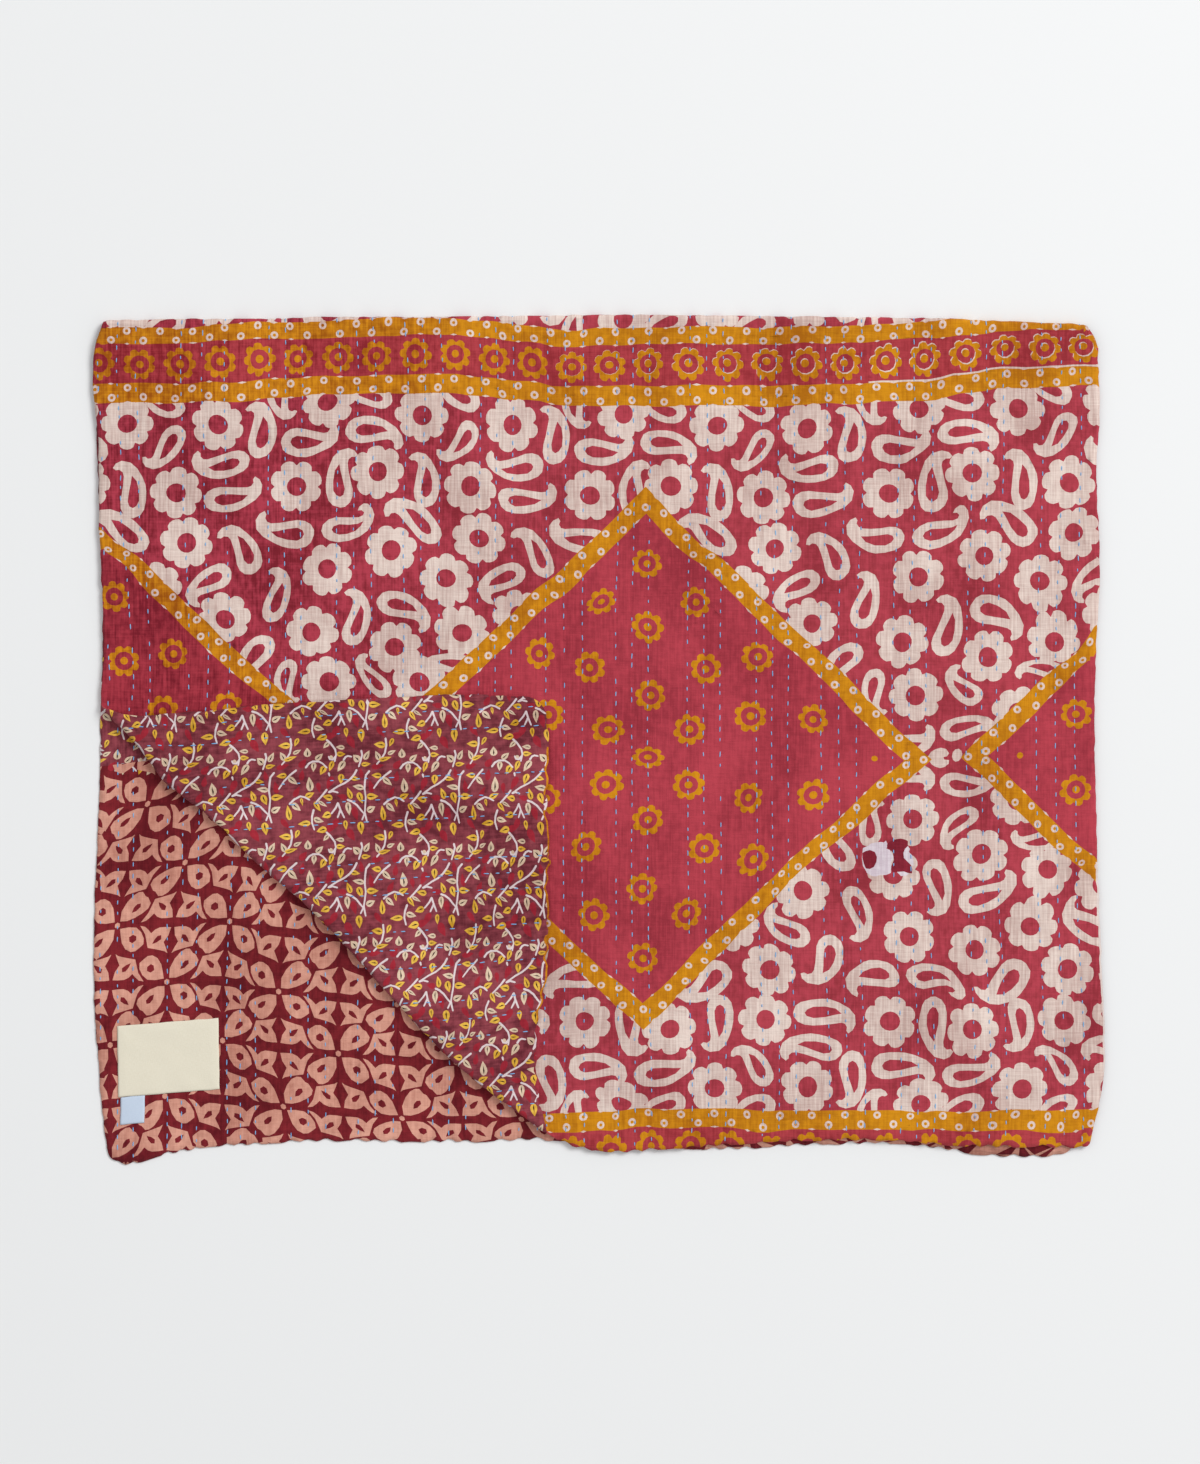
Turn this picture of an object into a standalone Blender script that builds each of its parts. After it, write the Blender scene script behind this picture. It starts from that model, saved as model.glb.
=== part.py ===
"""A kantha quilt folded in half, with one corner of its upper layer turned back.

Metres, +Z up. Seen from above with the fold away from the viewer, X runs to the right
and Y from the hems to the fold. The quilt lies on z = 0.

The cloth is drawn flat first. There u runs across it and v along it, so that the upper
layer has u = x and v = y, and the lower layer follows past the fold. lie() carries a
point of the flat cloth's middle to its place on the folded quilt, and each face of the
cloth lies half a thickness from that middle, higher between two rows of stitches.
"""

from collections import namedtuple
from math import pi

import bmesh
import bpy
import numpy as np
from mathutils import Matrix, Vector
from mathutils.geometry import delaunay_2d_cdt

# The cloth
THICKNESS = 0.0020  # two or three old saris, sewn together flat
HEM_THICKNESS = 0.0016
RIDGE = 0.0009  # how far each face puffs up between two rows of stitches
ROW_REACH = 0.0078  # how far from a row the cloth has puffed up in full
ROW_SLANT = 0.032  # how far the rows wander to the side on the lower layer
SCALLOP = 0.0012  # how far the stitches draw a hem in and let it out again

# The rows of stitches run along v, in groups of three
RowGroup = namedtuple("RowGroup", "middle step")
ROW_GROUPS = [
    RowGroup(-0.4316, 0.0170),
    RowGroup(-0.3542, 0.0192),
    RowGroup(-0.2831, 0.0143),
    RowGroup(-0.2210, 0.0155),
    RowGroup(-0.1600, 0.0160),
    RowGroup(-0.0936, 0.0150),
    RowGroup(-0.0304, 0.0165),
    RowGroup(0.0311, 0.0145),
    RowGroup(0.0968, 0.0150),
    RowGroup(0.1593, 0.0145),
    RowGroup(0.2198, 0.0160),
    RowGroup(0.2835, 0.0152),
    RowGroup(0.3488, 0.0140),
    RowGroup(0.4154, 0.0174),
]

# How the layers lie
LOWER_Z = THICKNESS / 2
UPPER_Z = 0.0043
FLAP_RISE = 0.0038  # the turned corner above the upper layer, middle to middle
FOLD_RADIUS = 0.0030
FOLD_PUFF = 0.050  # the upper layer takes this long to come down from the fold
TURN_RADIUS = 0.0027
TURN_PUFF = 0.042
BEND_STEPS = 8

# The mesh of the solid
STEP = 0.040  # along a row of stitches, where the cloth shows
COARSE = 0.070  # both ways, where it is hidden
CLEAR = 0.010  # no closer than this to an edge or a bend
ON_RIM = 0.0005  # a line's end this near to a point of the rim takes it
WIDE_CHANNEL = 0.022  # between groups of rows, where two lines of points lie side by side

# Edges of the folded quilt, as they lie. A fold or hem has its y at each x, and a side
# has its x at each y.
Edge = namedtuple("Edge", "along at")
FOLD = [
    Edge(-0.446, 0.3780),
    Edge(-0.372, 0.3793),
    Edge(-0.305, 0.3795),
    Edge(-0.251, 0.3810),
    Edge(-0.179, 0.3812),
    Edge(-0.107, 0.3816),
    Edge(-0.035, 0.3824),
    Edge(0.037, 0.3832),
    Edge(0.109, 0.3824),
    Edge(0.181, 0.3816),
    Edge(0.253, 0.3805),
    Edge(0.307, 0.3797),
    Edge(0.361, 0.3776),
    Edge(0.397, 0.3762),
    Edge(0.439, 0.3745),
]
UPPER_HEM = [
    Edge(-0.042, -0.357),
    Edge(-0.023, -0.365),
    Edge(-0.002, -0.369),
    Edge(0.073, -0.367),
    Edge(0.136, -0.363),
    Edge(0.200, -0.360),
    Edge(0.260, -0.360),
    Edge(0.310, -0.364),
    Edge(0.360, -0.366),
    Edge(0.415, -0.366),
    Edge(0.441, -0.368),
]
LOWER_HEM = [
    Edge(-0.441, -0.379),
    Edge(-0.426, -0.3820),
    Edge(-0.395, -0.374),
    Edge(-0.359, -0.367),
    Edge(-0.305, -0.3635),
    Edge(-0.240, -0.3605),
    Edge(-0.170, -0.3615),
    Edge(-0.100, -0.3610),
    Edge(-0.048, -0.3600),
    Edge(0.037, -0.367),
    Edge(0.110, -0.368),
    Edge(0.185, -0.3645),
    Edge(0.278, -0.3640),
    Edge(0.320, -0.370),
    Edge(0.370, -0.375),
    Edge(0.426, -0.374),
]
UPPER_LEFT = [
    Edge(0.0315, -0.448),
    Edge(0.072, -0.446),
    Edge(0.126, -0.447),
    Edge(0.189, -0.4495),
    Edge(0.275, -0.451),
    Edge(0.320, -0.4555),
    Edge(0.355, -0.453),
    Edge(0.378, -0.446),
]
LOWER_LEFT = [
    Edge(-0.378, -0.441),
    Edge(-0.346, -0.446),
    Edge(-0.279, -0.4515),
    Edge(-0.234, -0.4545),
    Edge(-0.144, -0.4540),
    Edge(-0.054, -0.4500),
    Edge(0.033, -0.4485),
    Edge(0.090, -0.4470),
    Edge(0.140, -0.4465),
    Edge(0.189, -0.4490),
    Edge(0.275, -0.4525),
    Edge(0.340, -0.4520),
]
UPPER_RIGHT = [
    Edge(-0.370, 0.441),
    Edge(-0.335, 0.449),
    Edge(-0.302, 0.455),
    Edge(-0.252, 0.4555),
    Edge(-0.199, 0.453),
    Edge(-0.108, 0.4495),
    Edge(0.038, 0.447),
    Edge(0.166, 0.4515),
    Edge(0.247, 0.4485),
    Edge(0.295, 0.4515),
    Edge(0.335, 0.4500),
    Edge(0.362, 0.4470),
    Edge(0.3745, 0.439),
]
LOWER_RIGHT = [
    Edge(-0.376, 0.426),
    Edge(-0.250, 0.443),
    Edge(0.000, 0.445),
    Edge(0.300, 0.446),
]

# The turned corner. Its fold runs from the left side to the upper hem, and bows out.
TURN_START = Vector((-0.448, 0.0315))
TURN_END = Vector((-0.042, -0.357))
FLAP_TOP = [
    Edge(-0.418, 0.0225),
    Edge(-0.387, 0.025),
    Edge(-0.329, 0.030),
    Edge(-0.246, 0.035),
    Edge(-0.191, 0.038),
    Edge(-0.122, 0.041),
    Edge(-0.067, 0.039),
]
FLAP_SIDE = [
    Edge(0.013, -0.0460),
    Edge(-0.040, -0.0465),
    Edge(-0.068, -0.0472),
    Edge(-0.100, -0.0444),
    Edge(-0.126, -0.0462),
    Edge(-0.153, -0.0458),
    Edge(-0.190, -0.0462),
    Edge(-0.221, -0.0480),
    Edge(-0.256, -0.053),
    Edge(-0.308, -0.053),
    Edge(-0.332, -0.050),
]
FLAP_CORNER = Vector((-0.048, 0.038))
Bow = namedtuple("Bow", "along out")
TURN_BOW = [
    Bow(0.000, 0.000),
    Bow(0.055, 0.003),
    Bow(0.090, 0.009),
    Bow(0.135, 0.004),
    Bow(0.211, 0.004),
    Bow(0.261, 0.001),
    Bow(0.305, 0.003),
    Bow(0.360, 0.007),
    Bow(0.447, 0.011),
    Bow(0.489, 0.009),
    Bow(0.526, 0.004),
    Bow(0.562, 0.000),
]
BOW_REACH = 0.120
CORNER_RADII = {"turned": 0.020, "right": 0.006, "under right": 0.012, "under left": 0.008}

# Soft creases and swells of the upper layer, each a low ridge from one end to the other
Crease = namedtuple("Crease", "x0 y0 x1 y1 width height")
CREASES = [
    Crease(0.050, 0.235, 0.048, -0.140, 0.020, 0.0006),
    Crease(-0.040, -0.140, 0.230, -0.140, 0.016, 0.0007),
    Crease(0.330, 0.330, 0.300, -0.330, 0.090, 0.0011),
    Crease(-0.300, 0.330, -0.260, 0.060, 0.110, 0.0010),
    Crease(0.110, 0.300, 0.160, -0.300, 0.080, 0.0008),
    Crease(-0.100, 0.330, -0.060, -0.020, 0.080, 0.0009),
    Crease(-0.350, 0.010, -0.120, 0.015, 0.030, 0.0007),
]

# Labels, sewn flat to the back of the lower layer
Label = namedtuple("Label", "name x y width height turn colour roughness")
LABELS = [
    Label("label", -0.3876, -0.2862, 0.0915, 0.0640, 0.078, (0.80, 0.75, 0.61), 0.85),
    Label("care_label", -0.4199, -0.3335, 0.0218, 0.0246, 0.078, (0.56, 0.66, 0.78), 0.60),
]
LABEL_THICKNESS = 0.0010
LABEL_PUFF = 0.0004  # the middle of a label stands this much above its sewn edge
LABEL_GAP = 0.0003
LABEL_CELLS = 0.008
PRESSED = 0.0022  # the quilt is pressed flat this far around a label
RING_SLACK = 0.0010  # points of the mesh this near to that ring count as on it

QUILT_COLOUR = (0.36, 0.035, 0.06)
QUILT_ROUGHNESS = 0.9

# Worked out from the sizes above
TURN_ALONG = (TURN_END - TURN_START).normalized()
TURN_OUT = Vector((TURN_ALONG.y, -TURN_ALONG.x))  # towards the corner, before it is turned
TURN_APEX = TURN_RADIUS * (pi / 2 - 1)  # the bend's outermost line, along the cloth
TURN_ANGLES = [pi * (k / BEND_STEPS - 0.5) for k in range(BEND_STEPS + 1)]
SETTLING = [0.18, 0.40, 0.68, 1.0]  # lines across a puff, in parts of its length


def smooth(table, at):
    """The second column of a table where its first has the values at."""
    along, value = np.array(sorted(table)).T
    at = np.asarray(at, float)
    slope = np.gradient(value, along)
    k = np.clip(np.searchsorted(along, at) - 1, 0, len(along) - 2)
    step = along[k + 1] - along[k]
    t = np.clip((at - along[k]) / step, 0.0, 1.0)
    rise = t * t * (3.0 - 2.0 * t)
    bend = slope[k] * t * (1.0 - t) ** 2 - slope[k + 1] * t * t * (1.0 - t)
    return value[k] * (1.0 - rise) + value[k + 1] * rise + step * bend


def ease(t):
    """0 to 1 as t goes from 0 to 1, level at both ends."""
    t = np.clip(t, 0.0, 1.0)
    return t * t * (3.0 - 2.0 * t)


def fold_y(u):
    """The y of the middle of the cloth at the fold's outermost line."""
    return smooth(FOLD, u) - (THICKNESS + RIDGE) / 2


def apex(u):
    """The v of the fold's outermost line."""
    return fold_y(u) + FOLD_RADIUS * (pi / 2 - 1)


def turn_frame(x, y):
    """How far a point lies along the turned corner's fold, and how far out past it."""
    dx, dy = x - TURN_START.x, y - TURN_START.y
    along = dx * TURN_ALONG.x + dy * TURN_ALONG.y
    out = dx * TURN_OUT.x + dy * TURN_OUT.y
    return along, out


def swell(x, y):
    """Height of the upper layer's creases and swells."""
    height = np.zeros(np.broadcast(x, y).shape)
    for c in CREASES:
        dx, dy = c.x1 - c.x0, c.y1 - c.y0
        t = np.clip(((x - c.x0) * dx + (y - c.y0) * dy) / (dx * dx + dy * dy), 0.0, 1.0)
        away = np.hypot(x - c.x0 - t * dx, y - c.y0 - t * dy)
        height = height + c.height * (1.0 - ease(away / c.width))
    return height


def lie(u, v):
    """Where points of the flat cloth's middle lie on the folded quilt."""
    past = v - apex(u)
    turn = np.clip(past / FOLD_RADIUS, -pi / 2, pi / 2)
    run = np.maximum(np.abs(past) - pi / 2 * FOLD_RADIUS, 0.0)
    y = fold_y(u) - FOLD_RADIUS * (1.0 - np.cos(turn)) - run
    round_z = LOWER_Z + FOLD_RADIUS * (1.0 - np.sin(turn))
    down = ease(run / FOLD_PUFF)
    upper_z = round_z + down * (UPPER_Z + swell(u, y) - LOWER_Z - 2 * FOLD_RADIUS)
    z = np.where(past < 0.0, upper_z, round_z)

    along, out = turn_frame(u, v)
    turn = np.clip((out - TURN_APEX) / TURN_RADIUS, -pi / 2, pi / 2)
    run = np.maximum(out - TURN_APEX - pi / 2 * TURN_RADIUS, 0.0)
    turned = TURN_RADIUS * (np.cos(turn) - 1.0) - run
    before = out < -TURN_RADIUS
    across = np.where(before, out, turned)
    bow = smooth(TURN_BOW, along) * (1.0 - ease(np.abs(across) / BOW_REACH))
    x = TURN_START.x + along * TURN_ALONG.x + (across + bow) * TURN_OUT.x
    turned_y = TURN_START.y + along * TURN_ALONG.y + (across + bow) * TURN_OUT.y
    lift = TURN_RADIUS * (1.0 + np.sin(turn))
    lift = lift + ease(run / TURN_PUFF) * (FLAP_RISE - 2 * TURN_RADIUS)
    flap_z = UPPER_Z + swell(x, turned_y) + lift
    return np.stack(
        [
            np.where(past < -FOLD_PUFF, x, u),
            np.where(past < -FOLD_PUFF, turned_y, y),
            np.where(before, z, flap_z),
        ],
        axis=-1,
    )


def facing(u, v):
    """Unit normals of the cloth's front, where its middle lies."""
    step = 0.0004
    across = lie(u + step, v) - lie(u - step, v)
    along = lie(u, v + step) - lie(u, v - step)
    normal = np.cross(across, along)
    return normal / np.linalg.norm(normal, axis=-1, keepdims=True)


def columns():
    """The rows of stitches, and a line or two between each pair, by their u."""
    lines = list(ROW_U)
    for low, high in zip(ROW_U, ROW_U[1:]):
        parts = (0.5,) if high - low < WIDE_CHANNEL else (0.25, 0.75)
        lines += [low + (high - low) * part for part in parts]
    return np.array(sorted(lines))


ROW_U = np.array([g.middle + k * g.step for g in ROW_GROUPS for k in (-1, 0, 1)])
ROW_EDGES = np.concatenate([[ROW_U[0] - 0.02], ROW_U, [ROW_U[-1] + 0.02]])
COLUMNS = columns()


def slant(u, v):
    """How far the rows of stitches have wandered to the side at a point."""
    return ROW_SLANT * ease((u + 0.4516) / 0.09) * ease((v - apex(u)) / 0.5)


def row_place(row_u, v):
    """The u of a row of stitches at v."""
    u = row_u
    for _ in range(5):
        u = row_u - slant(u, v)
    return u


def between_rows(u, v):
    """The channel that a point lies in, and how near the nearest row is, 1 on it."""
    along = u + slant(u, v)
    k = np.clip(np.searchsorted(ROW_EDGES, along) - 1, 0, len(ROW_EDGES) - 2)
    away = np.minimum(along - ROW_EDGES[k], ROW_EDGES[k + 1] - along)
    return k, 1.0 - np.clip(away / ROW_REACH, 0.0, 1.0)


def quilting(u, v):
    """Height of a face between rows of stitches, uneven along each channel."""
    k, near = between_rows(u, v)
    uneven = 0.78 + 0.22 * np.sin(v / 0.013 + 2.4 * k)
    return RIDGE * np.cos(pi / 2 * near) ** 1.5 * uneven


def scallop(u, v):
    """How far the rows of stitches draw a hem in at a point of it."""
    return SCALLOP * np.cos(pi * (1.0 - between_rows(u, v)[1]))


def untuck(table, swapped):
    """Rows of the turned corner's edges as they lie, as points of the flat cloth."""
    points = []
    for row in table:
        x, y = (row.at, row.along) if swapped else row
        out = turn_frame(x, y)[1]
        points.append(Vector((x, y)) + TURN_OUT * (2 * TURN_APEX - 2 * out))
    return points


def unfolded(table, swapped):
    """Rows of the lower layer's edges as they lie, as points of the flat cloth."""
    points = [Vector((row.at, row.along) if swapped else row) for row in table]
    return [Vector((p.x, 2 * float(apex(p.x)) - p.y)) for p in points]


FLAT_LEFT = (
    [Edge(p.y, p.x) for p in untuck(FLAP_TOP, False)]
    + UPPER_LEFT
    + [Edge(p.y, p.x) for p in unfolded(LOWER_LEFT, True)]
)
FLAT_RIGHT = UPPER_RIGHT + [Edge(p.y, p.x) for p in unfolded(LOWER_RIGHT, True)]
FLAT_BOTTOM = [Edge(p.x, p.y) for p in untuck(FLAP_SIDE, True)] + UPPER_HEM
FLAT_TOP = [Edge(p.x, p.y) for p in unfolded(LOWER_HEM, False)]


def left(v):
    return smooth(FLAT_LEFT, v)


def right(v):
    return smooth(FLAT_RIGHT, v)


def bottom(u):
    v = smooth(FLAT_BOTTOM, u)
    return v + scallop(u, v)


def top(u):
    v = smooth(FLAT_TOP, u)
    return v - scallop(u, v)


def turn_line(out, u):
    """The v at each u of a line beside the turned corner's fold on the flat cloth."""
    return TURN_START.y + (out - (u - TURN_START.x) * TURN_OUT.x) / TURN_OUT.y


def turn_offsets():
    """Lines along the turned corner's fold: around its bend, then across its puff."""
    bend = [TURN_APEX + TURN_RADIUS * a for a in TURN_ANGLES]
    return bend, [bend[-1] + TURN_PUFF * part for part in SETTLING]


def fold_offsets():
    """Lines along the main fold, past its outermost line: down the puff, then around."""
    bend = [FOLD_RADIUS * a for a in TURN_ANGLES]
    return [bend[0] - FOLD_PUFF * part for part in reversed(SETTLING)], bend


def crossing(side, offset, low, high):
    """Where a side, given as points at a parameter, crosses a line beside the turn."""
    for _ in range(50):
        middle = (low + high) / 2
        if turn_frame(*side(middle))[1] > offset:
            low = middle
        else:
            high = middle
    return (low + high) / 2


def thinned(wanted, kept, clear):
    """kept and those of wanted that lie clear of them, in order."""
    kept = list(kept)
    for value in wanted:
        if all(abs(value - other) > clear for other in kept):
            kept.append(value)
    return sorted(kept)


def rounded(before, corner, after):
    """Three points that take a corner off between two points of an outline."""
    return [
        before * (1 - t) ** 2 + corner * 2 * t * (1 - t) + after * t * t
        for t in (0.25, 0.5, 0.75)
    ]


def outline():
    """The flat cloth's edge, anticlockwise, with a point wherever a line meets it."""
    bend, puff = turn_offsets()
    fold_puff, fold_bend = fold_offsets()
    corner = untuck([Edge(*FLAP_CORNER)], False)[0]
    right_corner = Vector((UPPER_HEM[-1].along, UPPER_HEM[-1].at))
    under_right = unfolded([LOWER_HEM[-1]], False)[0]
    under_left = unfolded([LOWER_HEM[0]], False)[0]
    radii = CORNER_RADII

    def bottom_point(u):
        return u, float(bottom(u))

    def left_point(v):
        return float(left(v)), v

    turns = [crossing(bottom_point, w, corner.x, 0.1) for w in bend + puff[:-1]]
    low, high = corner.x + radii["turned"], right_corner.x - radii["right"]
    inside = [u for u in COLUMNS if low < u < high]
    hem = [bottom_point(u) for u in thinned(inside, turns + [low, high], 0.004)]

    apex_right = float(apex(UPPER_RIGHT[-1].at))
    low, high = right_corner.y + radii["right"], under_right.y - radii["under right"]
    folds = [apex_right + offset for offset in fold_puff + fold_bend]
    ends = [low, high]
    even = np.arange(low, high, STEP)
    side = [(float(right(v)), v) for v in thinned(even, folds + ends, CLEAR)]

    low, high = under_left.x + radii["under left"], under_right.x - radii["under right"]
    inside = [u for u in (hem_end(c)[0] for c in COLUMNS) if low < u < high]
    far_hem = [(u, float(top(u))) for u in thinned(inside, [low, high], 0.004)][::-1]

    apex_left = float(apex(UPPER_LEFT[-1].at))
    low, high = corner.y + radii["turned"], under_left.y - radii["under left"]
    turns = [crossing(left_point, w, corner.y, 0.1) for w in bend + puff[:-1]]
    folds = [apex_left + offset for offset in fold_puff + fold_bend]
    even = np.arange(low, high, STEP)
    far_side = [left_point(v) for v in thinned(even, turns + folds + [low, high], CLEAR)][::-1]

    points = []
    corners = [right_corner, under_right, under_left, corner]
    sides = [hem, side, far_hem, far_side]
    for run, at, following in zip(sides, corners, sides[1:] + sides[:1]):
        run = [Vector(p) for p in run]
        points += run + rounded(run[-1], at, Vector(following[0]))
    return points


def shows_front(u, v):
    """True where the front shows: the upper layer, but not under the turned corner."""
    fold_end = float(apex(u)) + pi / 2 * FOLD_RADIUS
    if u > FLAP_SIDE[0].at:
        return v < fold_end
    return float(smooth(FLAP_TOP, u)) - 0.006 < v < fold_end


def shows_back(u, v):
    """True where the back shows: the turned corner, and what it uncovers."""
    if v < apex(u):
        return turn_frame(u, v)[1] > -TURN_RADIUS - 1e-6
    return turn_frame(u, 2 * float(apex(u)) - v)[1] > -0.007 and v > apex(u) + FOLD_PUFF


def pressed(u, v):
    """True under a label and just around it."""
    if v < apex(u):
        return False
    x, y = u, 2 * float(apex(u)) - v
    for label in LABELS:
        place = Matrix.Rotation(-label.turn, 2) @ Vector((x - label.x, y - label.y))
        wide = label.width / 2 + PRESSED + RING_SLACK
        high = label.height / 2 + PRESSED + RING_SLACK
        if abs(place.x) < wide and abs(place.y) < high:
            return True
    return False


def label_rings():
    """The pressed places around the labels, as closed rings on the flat cloth."""
    rings = []
    for label in LABELS:
        wide, high = label.width / 2 + PRESSED, label.height / 2 + PRESSED
        corners = [Vector(c) for c in ((-wide, -high), (wide, -high), (wide, high), (-wide, high))]
        spun = [Matrix.Rotation(label.turn, 2) @ c + Vector((label.x, label.y)) for c in corners]
        rings.append([Vector((p.x, 2 * float(apex(p.x)) - p.y)) for p in spun])
    return rings


class Drawing:
    """Points and lines on the flat cloth, from which one of its faces is made."""

    def __init__(self, rim):
        self.points = list(rim)
        count = len(rim)
        self.lines = [(k, (k + 1) % count) for k in range(count)]
        self.rim = rim

    def on_rim(self, point):
        """The rim's own point at a place, or None."""
        away, k = min(((p - point).length, k) for k, p in enumerate(self.rim))
        return k if away < ON_RIM else None

    def within(self, point):
        """True where a point lies on the cloth and clear of its rim."""
        inside = False
        for a, b in zip(self.rim, self.rim[1:] + self.rim[:1]):
            t = min(1.0, max(0.0, (point - a).dot(b - a) / (b - a).length_squared))
            if (a + t * (b - a) - point).length < CLEAR / 3:
                return False
            if (a.y > point.y) != (b.y > point.y):
                at = a.x + (b.x - a.x) * (point.y - a.y) / (b.y - a.y)
                inside ^= at > point.x
        return inside

    def add(self, point):
        self.points.append(Vector(point))
        return len(self.points) - 1

    def polyline(self, points):
        """A line through points, which takes the rim's own points where it ends there.

        It breaks off wherever it would run along the rim.
        """
        made = []
        for k, point in enumerate(Vector(p) for p in points):
            at_rim = self.on_rim(point) if k in (0, len(points) - 1) else None
            if at_rim is not None:
                made.append(at_rim)
            else:
                made.append(self.add(point) if self.within(point) else None)
        self.lines += [pair for pair in zip(made, made[1:]) if None not in pair]

    def ring(self, corners):
        made = [self.add(c) for c in corners]
        self.lines += list(zip(made, made[1:] + made[:1]))

    def triangles(self):
        """Flat points, triangles and the new index of each point of the rim."""
        made = delaunay_2d_cdt(self.points, self.lines, [], 1, 1e-7)
        places, faces, sources = made[0], made[2], made[3]
        new = {old: k for k, olds in enumerate(sources) for old in olds}
        return places, faces, [new[k] for k in range(len(self.rim))]


def fold_lines(drawing, columns, offsets):
    """Lines along the main fold, from side to side."""
    for offset in offsets:
        ends = [float(left(apex(UPPER_LEFT[-1].at) + offset))]
        ends.append(float(right(apex(UPPER_RIGHT[-1].at) + offset)))
        inner = [u for u in columns if ends[0] + CLEAR / 2 < u < ends[1] - CLEAR / 2]
        middle = [(u, float(apex(u)) + offset) for u in inner]
        first = (ends[0], float(apex(UPPER_LEFT[-1].at)) + offset)
        last = (ends[1], float(apex(UPPER_RIGHT[-1].at)) + offset)
        drawing.polyline([first] + middle + [last])


def turn_lines(drawing, columns, offsets):
    """Lines along the turned corner's fold, from the left edge to the hem."""
    corner = untuck([Edge(*FLAP_CORNER)], False)[0]
    for offset in offsets:
        v = crossing(lambda v: (float(left(v)), v), offset, corner.y, 0.1)
        u = crossing(lambda u: (u, float(bottom(u))), offset, corner.x, 0.1)
        first, last = (float(left(v)), v), (u, float(bottom(u)))
        inner = [c for c in columns if first[0] + 0.004 < c < last[0] - 0.004]
        drawing.polyline([first] + [(c, float(turn_line(offset, c))) for c in inner] + [last])


def shown_runs(points, shown):
    """The stretches of a line of points that show."""
    run, runs = [], []
    for point in points:
        if shown(*point):
            run.append(point)
        elif run:
            runs.append(run)
            run = []
    return runs + [run] if run else runs


def hem_end(column):
    """Where a column meets the lower layer's hem."""
    u = float(row_place(column, smooth(FLAT_TOP, column)))
    return u, float(top(u))


def uncovered(column):
    """The points of a column of the lower layer, from the turned corner to the hem."""
    start = 2 * float(apex(column))
    for _ in range(8):
        u = float(row_place(column, start))
        start = 2 * float(apex(u)) - float(turn_line(-0.006, u))
    end = hem_end(column)
    if start > end[1]:
        return []
    values = column_values(start, end[1], [])[:-1]
    return [(float(row_place(column, v)), v) for v in values] + [end]


def column_values(low, high, lines):
    """Even values from low to high, then the lines past high, all above low."""
    values = spaced(low, high, STEP) + [high] + lines
    return [low] + [v for v in values if v > low + CLEAR / 3]


def spaced(low, high, step):
    """Even values strictly between low and high, about a step apart."""
    count = int((high - low) / step + 0.5)
    return [low + (high - low) * k / count for k in range(1, count)] if count > 1 else []


def coarse_points(drawing, hidden):
    """A wide lattice of single points where the cloth is hidden."""
    low, high = min(p.y for p in drawing.rim), max(p.y for p in drawing.rim)
    for v in spaced(low, high, COARSE):
        for u in spaced(float(left(v)), float(right(v)), COARSE):
            if hidden(u, v):
                drawing.add((u, v))


def front_face(rim):
    """The front: the upper layer's top and the lower layer's underside."""
    drawing = Drawing(rim)
    puff, bend = fold_offsets()
    fold_lines(drawing, COLUMNS, puff + bend)
    turned, settling = turn_offsets()
    turn_lines(drawing, COLUMNS[::4], turned + settling[:-1])
    for u in COLUMNS:
        low = float(smooth(FLAP_TOP, u)) - 0.004 if u < FLAP_SIDE[0].at else float(bottom(u))
        lines = [float(apex(u)) + offset for offset in puff + bend]
        values = column_values(low, lines[0], lines[1:])
        for run in shown_runs([(u, v) for v in values], shows_front):
            drawing.polyline(run)

    def hidden(u, v):
        past = v - float(apex(u))
        if past > 0.0:
            return past > COARSE / 3
        out = turn_frame(u, v)[1]
        beside = out < -COARSE / 3 or out > settling[-1] + COARSE / 4
        return beside and u < FLAP_SIDE[0].at - 0.02 and v < float(smooth(FLAP_TOP, u)) - 0.03

    coarse_points(drawing, hidden)
    return drawing


def back_face(rim):
    """The back: the turned corner and the lower layer that it uncovers show."""
    drawing = Drawing(rim)
    puff, bend = fold_offsets()
    fold_lines(drawing, COLUMNS[::4], puff + bend)
    turned, settling = turn_offsets()
    turn_lines(drawing, COLUMNS, turned + settling[:-1])
    for u in COLUMNS[COLUMNS < TURN_END.x - CLEAR]:
        lines = [float(turn_line(offset, u)) for offset in reversed(turned + settling[:-1])]
        values = column_values(float(bottom(u)), lines[0], lines[1:])
        for run in shown_runs([(u, v) for v in values], shows_back):
            drawing.polyline(run)
    for u in COLUMNS[COLUMNS < TURN_END.x + ROW_SLANT]:
        for run in shown_runs(uncovered(u), shows_back):
            drawing.polyline(run)
    for ring in label_rings():
        drawing.ring(ring)

    def hidden(u, v):
        past = v - float(apex(u))
        if past > 0.0:
            under = turn_frame(u, 2 * float(apex(u)) - v)[1] < -COARSE / 2
            return under and past > COARSE / 3
        return turn_frame(u, v)[1] < -COARSE / 3 and past < -FOLD_PUFF - COARSE / 3

    coarse_points(drawing, hidden)
    return drawing


def front_height(u, v):
    """How far the front stands from the cloth's middle."""
    if not shows_front(u, v):
        return THICKNESS / 2
    around = (v - float(apex(u))) / FOLD_RADIUS
    return THICKNESS / 2 + float(quilting(u, v)) * float(1.0 - ease(around / (pi / 2)))


def back_height(u, v):
    """How far the back stands from the cloth's middle."""
    if not shows_back(u, v) or pressed(u, v):
        return THICKNESS / 2
    return THICKNESS / 2 + float(quilting(u, v))


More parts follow.
